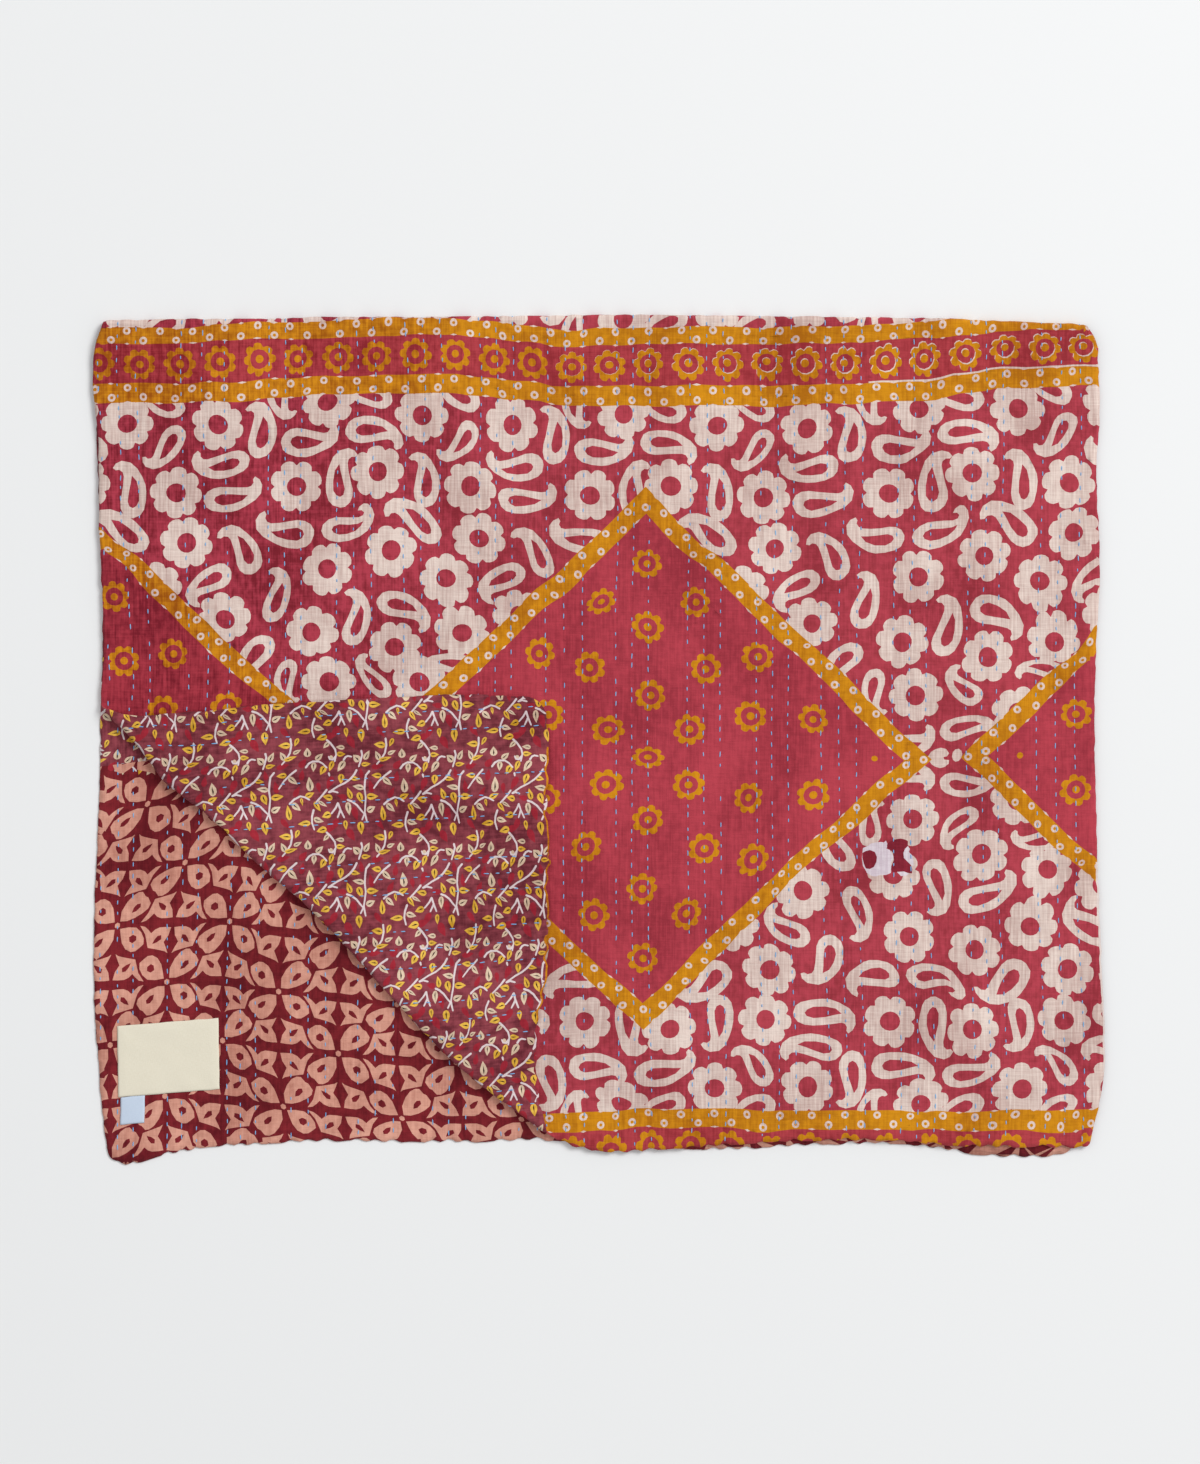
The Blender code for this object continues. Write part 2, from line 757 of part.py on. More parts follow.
def quilt_mesh():
    """The folded quilt as one closed mesh."""
    rim = outline()
    made = bmesh.new()
    rims = []
    for drawing, height, side in (
        (front_face(rim), front_height, 1.0),
        (back_face(rim), back_height, -1.0),
    ):
        places, faces, at_rim = drawing.triangles()
        u, v = np.array([tuple(p) for p in places]).T
        offsets = np.array([height(a, b) for a, b in zip(u, v)])
        offsets[at_rim] = HEM_THICKNESS / 2
        solid = lie(u, v) + side * offsets[:, None] * facing(u, v)
        verts = [made.verts.new(point) for point in solid]
        for face in faces:
            made.faces.new([verts[k] for k in (face if side > 0 else reversed(face))])
        rims.append([verts[k] for k in at_rim])
    front, back = rims
    for k in range(len(rim)):
        made.faces.new([front[k - 1], back[k - 1], back[k], front[k]])
    bmesh.ops.triangulate(made, faces=[f for f in made.faces if len(f.verts) > 3])
    bmesh.ops.recalc_face_normals(made, faces=made.faces)
    mesh = bpy.data.meshes.new("quilt")
    made.to_mesh(mesh)
    made.free()
    return mesh


def label_mesh(label):
    """A label: a thin flat plate of cloth, a little fuller inside its sewn edge."""
    made = bmesh.new()
    wide = max(2, round(label.width / LABEL_CELLS))
    high = max(2, round(label.height / LABEL_CELLS))
    layers = []
    for top_side in (True, False):
        layer = {}
        for i in range(wide + 1):
            for j in range(high + 1):
                x = label.width * (i / wide - 0.5)
                y = label.height * (j / high - 0.5)
                inner = min(i, wide - i, 1) * min(j, high - j, 1)
                uneven = 0.8 + 0.2 * np.sin(2.1 * i + 1.3 * j)
                z = LABEL_THICKNESS + LABEL_PUFF * inner * uneven if top_side else 0.0
                layer[i, j] = made.verts.new((x, y, z))
        layers.append(layer)
    upper, lower = layers
    for i in range(wide):
        for j in range(high):
            ring = [(i, j), (i + 1, j), (i + 1, j + 1), (i, j + 1)]
            made.faces.new([upper[c] for c in ring])
            made.faces.new([lower[c] for c in reversed(ring)])
    edge = [(i, 0) for i in range(wide)] + [(wide, j) for j in range(high)]
    edge += [(i, high) for i in range(wide, 0, -1)] + [(0, j) for j in range(high, 0, -1)]
    for k in range(len(edge)):
        a, b = edge[k - 1], edge[k]
        made.faces.new([lower[a], lower[b], upper[b], upper[a]])
    bmesh.ops.recalc_face_normals(made, faces=made.faces)
    mesh = bpy.data.meshes.new(label.name)
    made.to_mesh(mesh)
    made.free()
    return mesh


def material(name, colour, roughness):
    made = bpy.data.materials.new(name)
    made.use_nodes = True
    shader = made.node_tree.nodes["Principled BSDF"]
    shader.inputs["Base Color"].default_value = (*colour, 1.0)
    shader.inputs["Roughness"].default_value = roughness
    shader.inputs["Metallic"].default_value = 0.0
    return made


def place(name, mesh, colour, roughness):
    """Adds an object with its own material to the scene."""
    mesh.materials.append(material(name, colour, roughness))
    part = bpy.data.objects.new(name, mesh)
    bpy.context.scene.collection.objects.link(part)
    return part


def main():
    for old in list(bpy.data.objects):
        bpy.data.objects.remove(old, do_unlink=True)
    place("quilt", quilt_mesh(), QUILT_COLOUR, QUILT_ROUGHNESS)
    for label in LABELS:
        part = place(label.name, label_mesh(label), label.colour, label.roughness)
        part.location = (label.x, label.y, LOWER_Z + THICKNESS / 2 + LABEL_GAP)
        part.rotation_euler.z = label.turn


main()
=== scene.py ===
"""Looks of a kantha quilt that lies folded in half, one corner of its upper layer turned back.

Metres, +Z up. Seen from above with the fold away from the viewer, X runs to the right
and Y from the hems to the fold. The quilt lies on z = 0.

The cloth is drawn flat first, as its solid is. There u runs across it and v along it, so
that the upper layer has u = x and v = y, and the lower layer follows past the fold. lie()
carries a point of the flat cloth's middle to its place on the folded quilt.

The prints are outlines drawn on the flat cloth. They are cut into its mesh, and each face
of the mesh takes one ink. The charts of the prints count in squares of 0.9 mm.
"""

from collections import namedtuple
from math import cos, hypot, pi, radians, sin

import bpy
import numpy as np
from mathutils import Matrix, Vector
from mathutils.geometry import delaunay_2d_cdt
from mathutils.kdtree import KDTree


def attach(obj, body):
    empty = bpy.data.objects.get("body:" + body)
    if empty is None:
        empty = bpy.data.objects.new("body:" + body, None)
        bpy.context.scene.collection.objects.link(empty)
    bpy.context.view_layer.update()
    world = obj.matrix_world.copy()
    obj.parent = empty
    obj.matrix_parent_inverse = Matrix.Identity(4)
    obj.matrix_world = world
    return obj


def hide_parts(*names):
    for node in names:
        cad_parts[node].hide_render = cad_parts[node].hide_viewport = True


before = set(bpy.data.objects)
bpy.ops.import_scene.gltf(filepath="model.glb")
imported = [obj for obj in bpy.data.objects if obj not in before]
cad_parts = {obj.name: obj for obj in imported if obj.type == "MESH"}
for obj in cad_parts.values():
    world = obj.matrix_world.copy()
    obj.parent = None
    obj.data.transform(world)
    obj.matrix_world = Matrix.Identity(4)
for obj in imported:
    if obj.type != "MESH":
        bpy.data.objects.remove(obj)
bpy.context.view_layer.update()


def table(kind, *rows):
    """A table's rows, each value under its column's name."""
    return [kind(*row) for row in rows]


# The cloth
THICKNESS = 0.0020
HEM_THICKNESS = 0.0016
RIDGE = 0.0009  # how far each face puffs up between two rows of stitches
ROW_REACH = 0.0078  # how far from a row the cloth has puffed up in full
PUFF_MEAN, PUFF_SWING, PUFF_WAVE = 0.78, 0.22, 0.013  # how a ridge swells along a row
Ripple = namedtuple("Ripple", "height across along seed")
RIPPLES = table(Ripple, (0.0003, 0.015, 0.008, 1), (0.0002, 0.009, 0.0048, 2))
ROW_CALM = 0.85  # how much of the ripples the rows of stitches hold down
EDGE_SHARE = (0.35, 0.65)  # the share of a hem's thickness at its edge, and the rest
TO_FULL = (0.001, 0.003)  # from here, and over this far, it thickens to the cloth's own
EDGE_ROUND = 0.0012  # how far in a hem's edge is rounded
PUFF_FROM_EDGE = 0.006  # the cloth puffs up in full this far in from its edge
SHOWN_MARGIN = 0.004  # and goes on puffed up this far past what shows
SCALLOP = 0.0012  # how far the stitches draw a hem in and let it out again
# How far the edges wander in and out, and over what length
Wave = namedtuple("Wave", "far length")
EDGE_WAVES = table(Wave, (0.0007, 0.009), (0.0004, 0.004))

# The rows of stitches run along v, in groups of three
RowGroup = namedtuple("RowGroup", "middle step")
ROW_GROUPS = table(
    RowGroup,
    (-0.4316, 0.017), (-0.3542, 0.0192), (-0.2831, 0.0143), (-0.221, 0.0155), (-0.16, 0.016),
    (-0.0936, 0.015), (-0.0304, 0.0165), (0.0311, 0.0145), (0.0968, 0.015), (0.1593, 0.0145),
    (0.2198, 0.016), (0.2835, 0.0152), (0.3488, 0.014), (0.4154, 0.0174),
)

# On the lower layer the rows wander to the left, from a u and from a way past the fold on
Slant = namedtuple("Slant", "far u u_reach past past_reach")
SLANTS = table(Slant, (0.032, -0.4516, 0.13, 0.0, 0.5), (0.009, -0.40, 0.10, 0.45, 0.16))

# They wander on the upper layer too. At each v, how far they lie to the right of their
# place, in millimetres, where a row's u is each of the stations
ROW_STATIONS = (-0.447, -0.415, -0.354, -0.220, 0.020, 0.200)
RowPull = namedtuple("RowPull", "v mm")
ROW_PULLS = table(
    RowPull,
    (-0.4, (0, 0, 0, 0, 0, 0)), (-0.33, (0, 0, 0, 0, 1.5, 4.5)), (-0.284, (0, 0, 0, 0, 1.5, 4.3)),
    (-0.216, (0, 0, 0, 0, 0, 1.3)), (-0.144, (0, 0, 0, 0, -0.9, -2.0)),
    (-0.072, (0, 0, 0, 0, -1.2, -2.9)), (0.0, (2, 3, 0, 0, -1, -4.0)),
    (0.04, (6, 13, 3, 0.3, -0.9, -4.0)), (0.072, (6, 13, 3, 0.6, -0.8, -3.6)),
    (0.126, (4.5, 10, 2.2, 0.8, -1, -2.8)), (0.198, (1.5, 1.5, 0, 0, 0.5, 0.6)),
    (0.27, (0.9, 0.9, -1.8, 3, 1, 2.5)), (0.342, (-2.7, -2.7, -2.7, 5, 0, 0.8)),
    (0.4, (0, 0, 0, 0, 0, 0)),
)

# How the layers lie
FACING_STEP = 0.0004  # from a point to those beside it that tell which way the cloth faces
LOWER_Z = THICKNESS / 2
UPPER_Z = 0.0043
FLAP_RISE = 0.0038  # the turned corner above the upper layer, middle to middle
FOLD_RADIUS = 0.0030
FOLD_PUFF = 0.050  # the upper layer takes this long to come down from the fold
TURN_RADIUS = 0.0027
TURN_PUFF = 0.042

# Edges of the folded quilt, as they lie. A fold or hem has its y at each x, and a side
# has its x at each y.
Edge = namedtuple("Edge", "along at")
FOLD = table(
    Edge,
    (-0.446, 0.378), (-0.372, 0.3793), (-0.305, 0.3795), (-0.251, 0.381), (-0.179, 0.3812),
    (-0.107, 0.3816), (-0.035, 0.3824), (0.037, 0.3832), (0.109, 0.3824), (0.181, 0.3816),
    (0.253, 0.3805), (0.307, 0.3797), (0.361, 0.3776), (0.397, 0.3762), (0.439, 0.3745),
)
UPPER_HEM = table(
    Edge,
    (-0.042, -0.357), (-0.023, -0.365), (-0.002, -0.369), (0.073, -0.367), (0.136, -0.363),
    (0.2, -0.36), (0.26, -0.36), (0.31, -0.364), (0.36, -0.366), (0.415, -0.366), (0.441, -0.368),
)
LOWER_HEM = table(
    Edge,
    (-0.441, -0.379), (-0.426, -0.382), (-0.395, -0.374), (-0.359, -0.367), (-0.305, -0.3635),
    (-0.24, -0.3605), (-0.17, -0.3615), (-0.1, -0.361), (-0.048, -0.36), (0.037, -0.367),
    (0.11, -0.368), (0.185, -0.3645), (0.278, -0.364), (0.32, -0.37), (0.37, -0.375),
    (0.426, -0.374),
)
UPPER_LEFT = table(
    Edge,
    (0.0315, -0.448), (0.072, -0.446), (0.126, -0.447), (0.189, -0.4495), (0.275, -0.451),
    (0.32, -0.4555), (0.355, -0.453), (0.378, -0.446),
)
LOWER_LEFT = table(
    Edge,
    (-0.378, -0.441), (-0.346, -0.446), (-0.279, -0.4515), (-0.234, -0.4545), (-0.144, -0.454),
    (-0.054, -0.45), (0.033, -0.4485), (0.09, -0.447), (0.14, -0.4465), (0.189, -0.449),
    (0.275, -0.4525), (0.34, -0.452),
)
UPPER_RIGHT = table(
    Edge,
    (-0.37, 0.441), (-0.335, 0.449), (-0.302, 0.455), (-0.252, 0.4555), (-0.199, 0.453),
    (-0.108, 0.4495), (0.038, 0.447), (0.166, 0.4515), (0.247, 0.4485), (0.295, 0.4515),
    (0.335, 0.45), (0.362, 0.447), (0.3745, 0.439),
)
LOWER_RIGHT = table(Edge, (-0.376, 0.426), (-0.25, 0.443), (0.0, 0.445), (0.3, 0.446))

# The turned corner. Its fold runs from the left side to the upper hem, and bows out.
TURN_START = Vector((-0.448, 0.0315))
TURN_END = Vector((-0.042, -0.357))
FLAP_TOP = table(
    Edge,
    (-0.418, 0.0225), (-0.387, 0.025), (-0.329, 0.03), (-0.246, 0.035), (-0.191, 0.038),
    (-0.122, 0.041), (-0.067, 0.039),
)
FLAP_SIDE = table(
    Edge,
    (0.013, -0.046), (-0.04, -0.0465), (-0.068, -0.0472), (-0.1, -0.0444), (-0.126, -0.0462),
    (-0.153, -0.0458), (-0.19, -0.0462), (-0.221, -0.048), (-0.256, -0.053), (-0.308, -0.053),
    (-0.332, -0.05),
)
FLAP_CORNER = Vector((-0.048, 0.038))
Bow = namedtuple("Bow", "along out")
TURN_BOW = table(
    Bow,
    (0.0, 0.0), (0.055, 0.003), (0.09, 0.009), (0.135, 0.004), (0.211, 0.004), (0.261, 0.001),
    (0.305, 0.003), (0.36, 0.007), (0.447, 0.011), (0.489, 0.009), (0.526, 0.004), (0.562, 0.0),
)
BOW_REACH = 0.120
CORNER_RADII = {"turned": 0.020, "right": 0.006, "under right": 0.012, "under left": 0.008}

# Soft creases and swells of the upper layer, each a low ridge from one end to the other
Crease = namedtuple("Crease", "x0 y0 x1 y1 width height")
CREASES = table(
    Crease,
    (0.05, 0.235, 0.048, -0.14, 0.02, 0.0006), (-0.04, -0.14, 0.23, -0.14, 0.016, 0.0007),
    (0.33, 0.33, 0.3, -0.33, 0.09, 0.0011), (-0.3, 0.33, -0.26, 0.06, 0.11, 0.001),
    (0.11, 0.3, 0.16, -0.3, 0.08, 0.0008), (-0.1, 0.33, -0.06, -0.02, 0.08, 0.0009),
    (-0.35, 0.01, -0.12, 0.015, 0.03, 0.0007),
)

# The mesh
FINE = 0.0036  # along and across the rows of stitches, where the cloth shows
COARSE = 0.035  # both ways, where it is hidden
REACH_U, REACH_V = 0.46, 0.80  # the points' lattice reaches this far from the middle and the fold
RIM_STEP = 0.0035
BEND_STEPS = 10
BEND_END, TURN_ENDS = 0.455, (-0.02, 0.60)  # how far the fold and the turned corner's fold go
MAP_SPAN, MAP_LEFT, MAP_BELOW = 1.90, 0.475, 0.38  # the map that has both faces side by side
BEND_WIDE, BEND_FINE = 0.018, 0.0037  # along a bend, where it is hidden and where it shows
CLEAR_OF_RIM = 0.0019
CLEAR_OF_INK = 0.0011

# Stitches
STITCH_PITCH = 0.0105
STITCH = 0.0043
STITCH_LEAST, STITCH_MORE, STITCH_TURN = 0.65, 0.55, 0.16  # how they differ in length and turn
THREAD = 0.00048  # half the thread's width
ARCH, ARCH_SUNK = 0.00042, 0.00008  # how high a stitch stands, and how deep its ends go
SUNK = {"front": 0.10, "turned": 0.18, "lower": 0.14}  # the share of stitches too deep to see
JITTER, SWAY = 0.0034, 0.0009  # how uneven the stitches are, along their row and to its side
FROM_HEM, FROM_COVER = 0.0035, 0.002  # no stitch is nearer to a hem, or to the end of a drawn part
STITCH_DIP = 0.00034  # how much deeper the cloth lies under a stitch than between two

# Labels, sewn flat to the back of the lower layer
Label = namedtuple("Label", "name x y width height turn")
LABELS = [
    Label("label", -0.3876, -0.2862, 0.0915, 0.0640, 0.078),
    Label("care_label", -0.4199, -0.3335, 0.0218, 0.0246, 0.078),
]
LABEL_FINE = 0.0016  # from one point of a label to the next
LABEL_WAVE, LABEL_SWELL = 0.00025, 0.00035  # how uneven its sides and its face are
PRESSED = 0.0040  # the quilt is pressed flat this far around a label
LABEL_Z = THICKNESS + 0.0003
LABEL_THICKNESS = 0.0007
LABEL_LEAN = {"label": 0.060, "care_label": 0.105}  # how far its sides lean from square

# The charts of the prints count in squares, x to the right and y down
SQUARE = 0.0009
CHART_X, CHART_Y = 598.5, 740.0  # the square at the origin
Bloom = namedtuple("Bloom", "x y")
Paisley = namedtuple("Paisley", "x y tip_x tip_y hook")
BLOOMS = table(
    Bloom,
    (127, 419), (217, 422), (329, 407), (176, 490), (296, 489.5), (378, 479.5), (185, 541.5),
    (391, 559), (154, 588), (327.5, 575), (222, 618), (312, 638), (396, 655), (327, 692),
    (165, 638),
)
# These lie half under the diamonds
ODD_BLOOMS = table(Bloom, (419.5, 689), (1017, 716), (1018, 803))
PAISLEYS = table(
    Paisley,
    (173, 404, 147, 375, 1), (174, 434, 142, 455, 1), (133, 500, 114, 461, -1),
    (135, 537, 90, 520, -1), (236, 462, 194, 450, 1), (261, 446, 247, 404, -1),
    (294, 446, 336, 429, -1), (360, 436, 398, 457, 1), (339.5, 500, 357, 459, 1),
    (217.5, 498.5, 257, 480, -1), (299.5, 538.5, 261, 515, 1), (335, 536, 368, 512, -2),
    (248.5, 563, 216, 535, -1), (217.5, 574.5, 195, 609, -1), (273, 613, 268.5, 571, -1),
    (260, 651, 252, 694, -1), (285, 677, 298, 712, -1), (354, 640, 347.5, 597, -1),
    (391, 609, 423, 639, 1), (380, 696, 367, 661, 1), (380, 406, 352, 377, 1),
    (276, 385, 296, 417, -1), (303, 747, 341, 724, -1), (363.5, 730, 403, 742, 1),
    (166, 672, 131, 680, -1),
)
REPEAT = 295  # the floral field repeats across
MIRROR = 758  # and is mirrored here, along the cloth's middle
BAND_MIRROR = 361  # and again at the border's rosettes
BLOOM_RADIUS, BLOOM_NOTCH, BLOOM_HOLE = 26.6, 5.0, 9.7
LOBES = 8  # of a bloom and of a rosette
# A paisley lies along x from its round end's middle, its tail bent to the side of y > 0
PAISLEY = [
    (-13.5, 1), (-13, 5.5), (-9, 10.7), (-3, 13.2), (4, 13.4), (12, 11.7), (22, 9.7), (30, 8.2),
    (34, 8.9), (36.5, 12), (36.2, 15.7), (38.5, 18.4), (43, 15), (45.5, 9), (43.5, 0), (37, -6.3),
    (27, -10.8), (19, -13.2), (12, -13.8), (3, -12.9), (-6, -10.3), (-11, -6.3),
]
PAISLEY_HOLE = [
    (30, 0), (23, 1.7), (14, 4.2), (4, 5.7), (-1.5, 4), (-3.2, 0.6), (-1, -3), (4, -5.8),
    (14, -5.9), (24, -4.2),
]
PAISLEY_TIP = (41.0, 17.0)
CURLED = [
    (-14, 0.3), (-12, 6.3), (-6, 11.3), (1, 13.3), (8, 12.8), (16, 11.8), (24, 10.8), (29, 12.3),
    (30.5, 15.3), (28, 17.6), (24, 17.6), (26, 21.3), (31, 24.3), (35, 23.8), (39, 19.3),
    (40.5, 12.3), (38, 4.3), (32, -4.2), (24, -9.2), (14, -12.2), (3, -12.7), (-6, -9.7),
    (-11.5, -5.7),
]
CURLED_HOLE = [
    (29, 6.3), (23, 4.5), (14, 4.8), (4, 6.3), (-1.5, 4.3), (-3.5, 0.8), (-1.5, -2.2), (4, -4.7),
    (12, -4.7), (20, -2.7), (26, 1.8),
]
CURLED_TIP = (34.0, 21.8)
DIAMOND_X, DIAMOND_Y = 270, 265  # from a diamond's middle to its stripe's
DIAMONDS = (58, 648, 1246)
STRIPE = 19.0
STRIPE_SLANT = 1.4  # how much wider it is cut level than straight across
MIDDLE_SQUASH = 0.72  # the rosette in a diamond's middle is flattened
CORNER_RING = 5.8  # from a diamond's side corner out to the ring there
ARM_LEAD, ARM_TAIL = 11.2, 5.5  # from a side corner, and from the top, to the first ring
BORDER_STRIPES = ((332.5, 16.5), (389.0, 19.0))
BORDER_ROSETTES, ROSETTE_PITCH, FIRST_ROSETTE = 361, 39.4, 99.6
ROSETTES = table(
    Bloom,
    (0, 200), (48, 157), (0, 131), (108, 103), (58, 90), (0, 63), (100, 42), (165, 39), (40, 28),
    (0, 0),
)
ROSETTE_COUNT = 27  # in a border
SLIP_FROM, SLIP_STEP, SLIP_MOST = 11, 0.13, 1.1  # its inks have slipped more and more from here
RING_PITCH, RING_OFFSET = 32.5, 4.6
RING_RADIUS, DOT_RADIUS = 3.9, 1.7
SLIVER_CHANCE, SLIVER_DEEP = 0.80, 1.0  # bare slivers at a stripe's edges
ROSETTE_RADII, ROSETTE_NOTCH = (16.0, 9.4, 3.9), 3.8  # its lobes, its gap and its dot
CHART_LEFT, CHART_RIGHT = 60, 1140
NEAR_BAND = 480  # the field above this is mirrored at the border too
BAND_LINES = (337, 361, 389)  # the lines along which the border's three pulls are told
PRINT_WANDER, PRINT_WAVE = 1.3, 23  # how far the print is uneven in itself, and over what length
BETWEEN_DIAMONDS = [  # a small heart
    (927.8, 756.2), (931, 751.5), (935.8, 749), (941, 747.8), (946, 749), (948.7, 753), (946, 756),
    (942.5, 756.5), (943, 759), (948.3, 759.7), (948, 763.5), (944, 767), (940, 768.2),
    (935, 766.5), (931.5, 764), (928.5, 759.5),
]
BESIDE_HEART, BESIDE_RADIUS = (958, 756), 6.2
LONE_DOTS, LONE_RADIUS = (876, 1019), 3.4
BARE_LINE = (870, 378.2, 1140, 379.8)  # where the border's ink has slipped
PULL_CORE = 12.0  # within about this far of a pull's place its own pull holds
Drift = namedtuple("Drift", "x y dx dy")
BandDrift = namedtuple("BandDrift", "x dx upper middle lower")
# How far down the border is pulled: its upper stripe, its rosettes and its lower stripe
BAND_DRIFTS = table(
    BandDrift,
    (100, -1, 3, 2, 4.5), (180, 1.6, 3.5, 2.5, 4.5), (230, 3, -1, 0, 4), (276, 2.6, -1.7, -3, -1),
    (338, 2.5, -3, -5, -3), (400, 1.6, -5, -8.5, -4), (445, 1.6, -5.7, -8, -5.5),
    (485, 0.5, -3, -3, -2), (522, 0, 1, 0, 1.5), (566, -1, 6, 6.5, 8), (609, -2.8, 4, 4, 7.5),
    (660, -3, 2.5, 1.5, 8), (727, -3.4, 3, 0.5, 6.5), (768, -3.4, 3.3, 0.5, 8.5),
    (809, -3.8, 2, 1.5, 6), (850, -3.2, 2.3, 3, 6), (891, -2.6, -0.7, -1, 3),
    (930, -2, -2.7, -3, 2), (968, -1.4, -6, -9.5, -5), (1010, -0.5, -9.8, -13.5, -10.5),
    (1055, -0.5, -10, -14.5, -13), (1090, -1, -10, -15, -13.5),
)
# How far the rest of the front's print is pulled, here and there
DRIFTS = table(
    Drift,
    (127, 419, 0, 4.5), (217, 422, 1, 2.5), (176, 490, 0, 2.5), (125, 508, 0, 5),
    (296, 490, 0, -3.4), (330, 420, -2, -6), (370, 425, -1, -8), (378, 480, 0, -8.2),
    (408, 508, -1.8, -5.5), (423, 419, 1, -4.5), (512, 422, 0, 3), (471, 490, -1, -3.5),
    (528, 465, 0, 4.5), (525, 505, -1, 2), (391, 559, -0.5, -8.5), (185, 542, 1, 1),
    (283, 565, 2.5, -3), (480, 541, -1, -2.5), (449, 588, -3, -10), (527, 590, 0, -1),
    (568, 590, 2.5, 4), (606, 626, 0, -3), (565, 548, 0, 4), (530, 628, 3, -4),
    (327, 575, -1, -6.6), (222, 618, 2.2, 1.7), (312, 638, 0, -6), (396, 655, -1.5, -7.6),
    (327, 692, 1.7, -11), (106, 602, 8, -6), (116, 669, 7.3, -7.3), (166, 656, 7.3, -3),
    (158, 717, 6.2, -7), (223, 720, 4.5, -13), (152, 592, 2, 0), (180, 614, 2, -1),
    (207, 640, 1.5, -2.5), (236, 668, 1, -5.5), (58, 759, 0, 0), (591, 490, -1, 6),
    (460, 638, 1.5, -4.5), (487, 668, 6, -7), (545, 665, -1, -2), (648, 494, -2, 6),
    (692, 520, -3, 9), (717, 419, 0, 6.5), (807, 422, 0, 6), (766, 490, -2.5, 7.6),
    (775, 542, 0, 8), (730, 586, -2, 2), (697, 606, 0, 0), (758, 660, 2, 0), (768, 622, -2.5, 3.5),
    (812, 618, 0, 5.5), (808, 666, -2.5, -1.5), (886, 490, 3, 3.5), (968, 480, 5, -6),
    (917, 575, 0.2, 1.3), (981, 559, 3, -4), (902, 638, 0.7, 4), (986, 655, 2, 2.5),
    (917, 692, -2, 3.5), (1012, 419, 7.5, -9.5), (1047, 425, 7.5, -9.5), (1088, 430, 12, -14),
    (1092, 606, 2, -6), (1010, 508, 6.5, -3.5), (1061, 490, 9, -7), (1070, 541, 4.5, -9.5),
    (1039, 588, 1, -7), (1050, 638, 4, 4), (756, 730, 3, -1.5), (648, 700, 2, 0),
    (640, 790, 1, -2.5), (720, 800, 1.5, -2.5), (700, 850, -1.5, -0.5), (830, 780, 1, -3.5),
    (595, 790, -3, -2.5), (918, 759, -1.5, 1), (880, 735, -2, 1.5), (878, 795, -4, -1.5),
    (942, 758, 0, 0), (976, 759, -1, -3.5), (1005, 728, 1.5, -3), (1050, 684, 2, -3.5),
    (1010, 795, -0.5, -3), (1058, 842, -2, -3.5), (1081, 720, -4, -5.6), (1081, 798, -5.6, -7.4),
    (917, 824, -3.6, -4.8), (986, 861, -5, -7), (1050, 878, -2, -9), (1100, 893, -5, -13),
    (812, 898, -10, -7), (752, 893, -10.5, -2), (752, 932, -11.5, -3.5), (792, 930, -11.5, -4.5),
    (712, 932, -11, -1.5), (902, 878, -9, -3), (917, 941, -9, -5), (981, 957, -6, -7),
    (965, 890, -10, -4), (1039, 928, -9, -1), (1070, 974, -3, -4.5), (775, 974, -5, -4),
    (673, 1036, -2.4, -7.6), (648, 1024, -6, -7), (700, 900, -8, -3), (605, 915, -7, -1.5),
    (640, 950, -5, -0.5), (755, 860, -2, -3), (712, 1008, -3.5, -9), (766, 1026, 0, -5.5),
    (838, 1028, 4.5, -4.8), (886, 1026, 3.5, -4.6), (968, 1036, 5, -7), (1061, 1026, 3.5, -4.5),
    (950, 1072, 6, -3), (625, 1085, -9, -2.5), (1072, 1092, 9, -8), (717, 1097, -1.6, -9),
    (807, 1094, 1, -7), (921, 1109, 3, -4), (1012, 1097, 11, -8), (601, 1127, 0, -5.5),
    (642, 1127, 0, -9), (724, 1127, 0, -10), (806, 1127, 0, -7), (888, 1127, 0, -6.5),
    (929, 1127, 0, -9), (970, 1127, 0, -5), (1090, 1127, 2, -9), (600, 1158, 0, -2),
    (760, 1158, 0, -3), (920, 1158, 2, -1), (1070, 1158, 5, 0),
)

# The vine print of the back, one repeat
VINE_X, VINE_Y = 95.5, 90.7
VINE_AT = (284.0, 734.0)
VINE_LEAN = -1.5  # each row of repeats lies this far to the side of the one above
Leaf = namedtuple("Leaf", "x y heading length width")
MUSTARD_LEAVES = table(
    Leaf,
    (297, 741.5, 245, 9, 5), (380.5, 744, 175, 12, 7), (322, 737.5, 195, 11, 7),
    (341.5, 753.5, 0, 9, 5.5), (367, 763, 5, 9.5, 5), (291, 757.5, 15, 13, 4.6),
    (323, 770.5, 240, 10, 7), (331.5, 766, 250, 11, 5.5), (341.5, 778.5, 265, 10, 7),
    (356, 777.5, -10, 10, 5), (377.5, 774.5, 175, 10, 6), (349.5, 792, 110, 11.5, 6),
    (361, 796.5, 290, 11.5, 7), (373.5, 795, 0, 12, 7), (310, 794.5, 25, 10, 6),
    (327.7, 797, 170, 10, 6.5), (302, 801.5, 280, 7.5, 3.2), (288, 811, 95, 14.5, 6.5),
    (317.5, 806, 305, 11, 5), (326, 814, 200, 9.5, 7), (303, 821.8, 185, 13, 6),
    (345, 823, 275, 9.5, 5), (360.3, 826, 275, 13, 7.5),
)
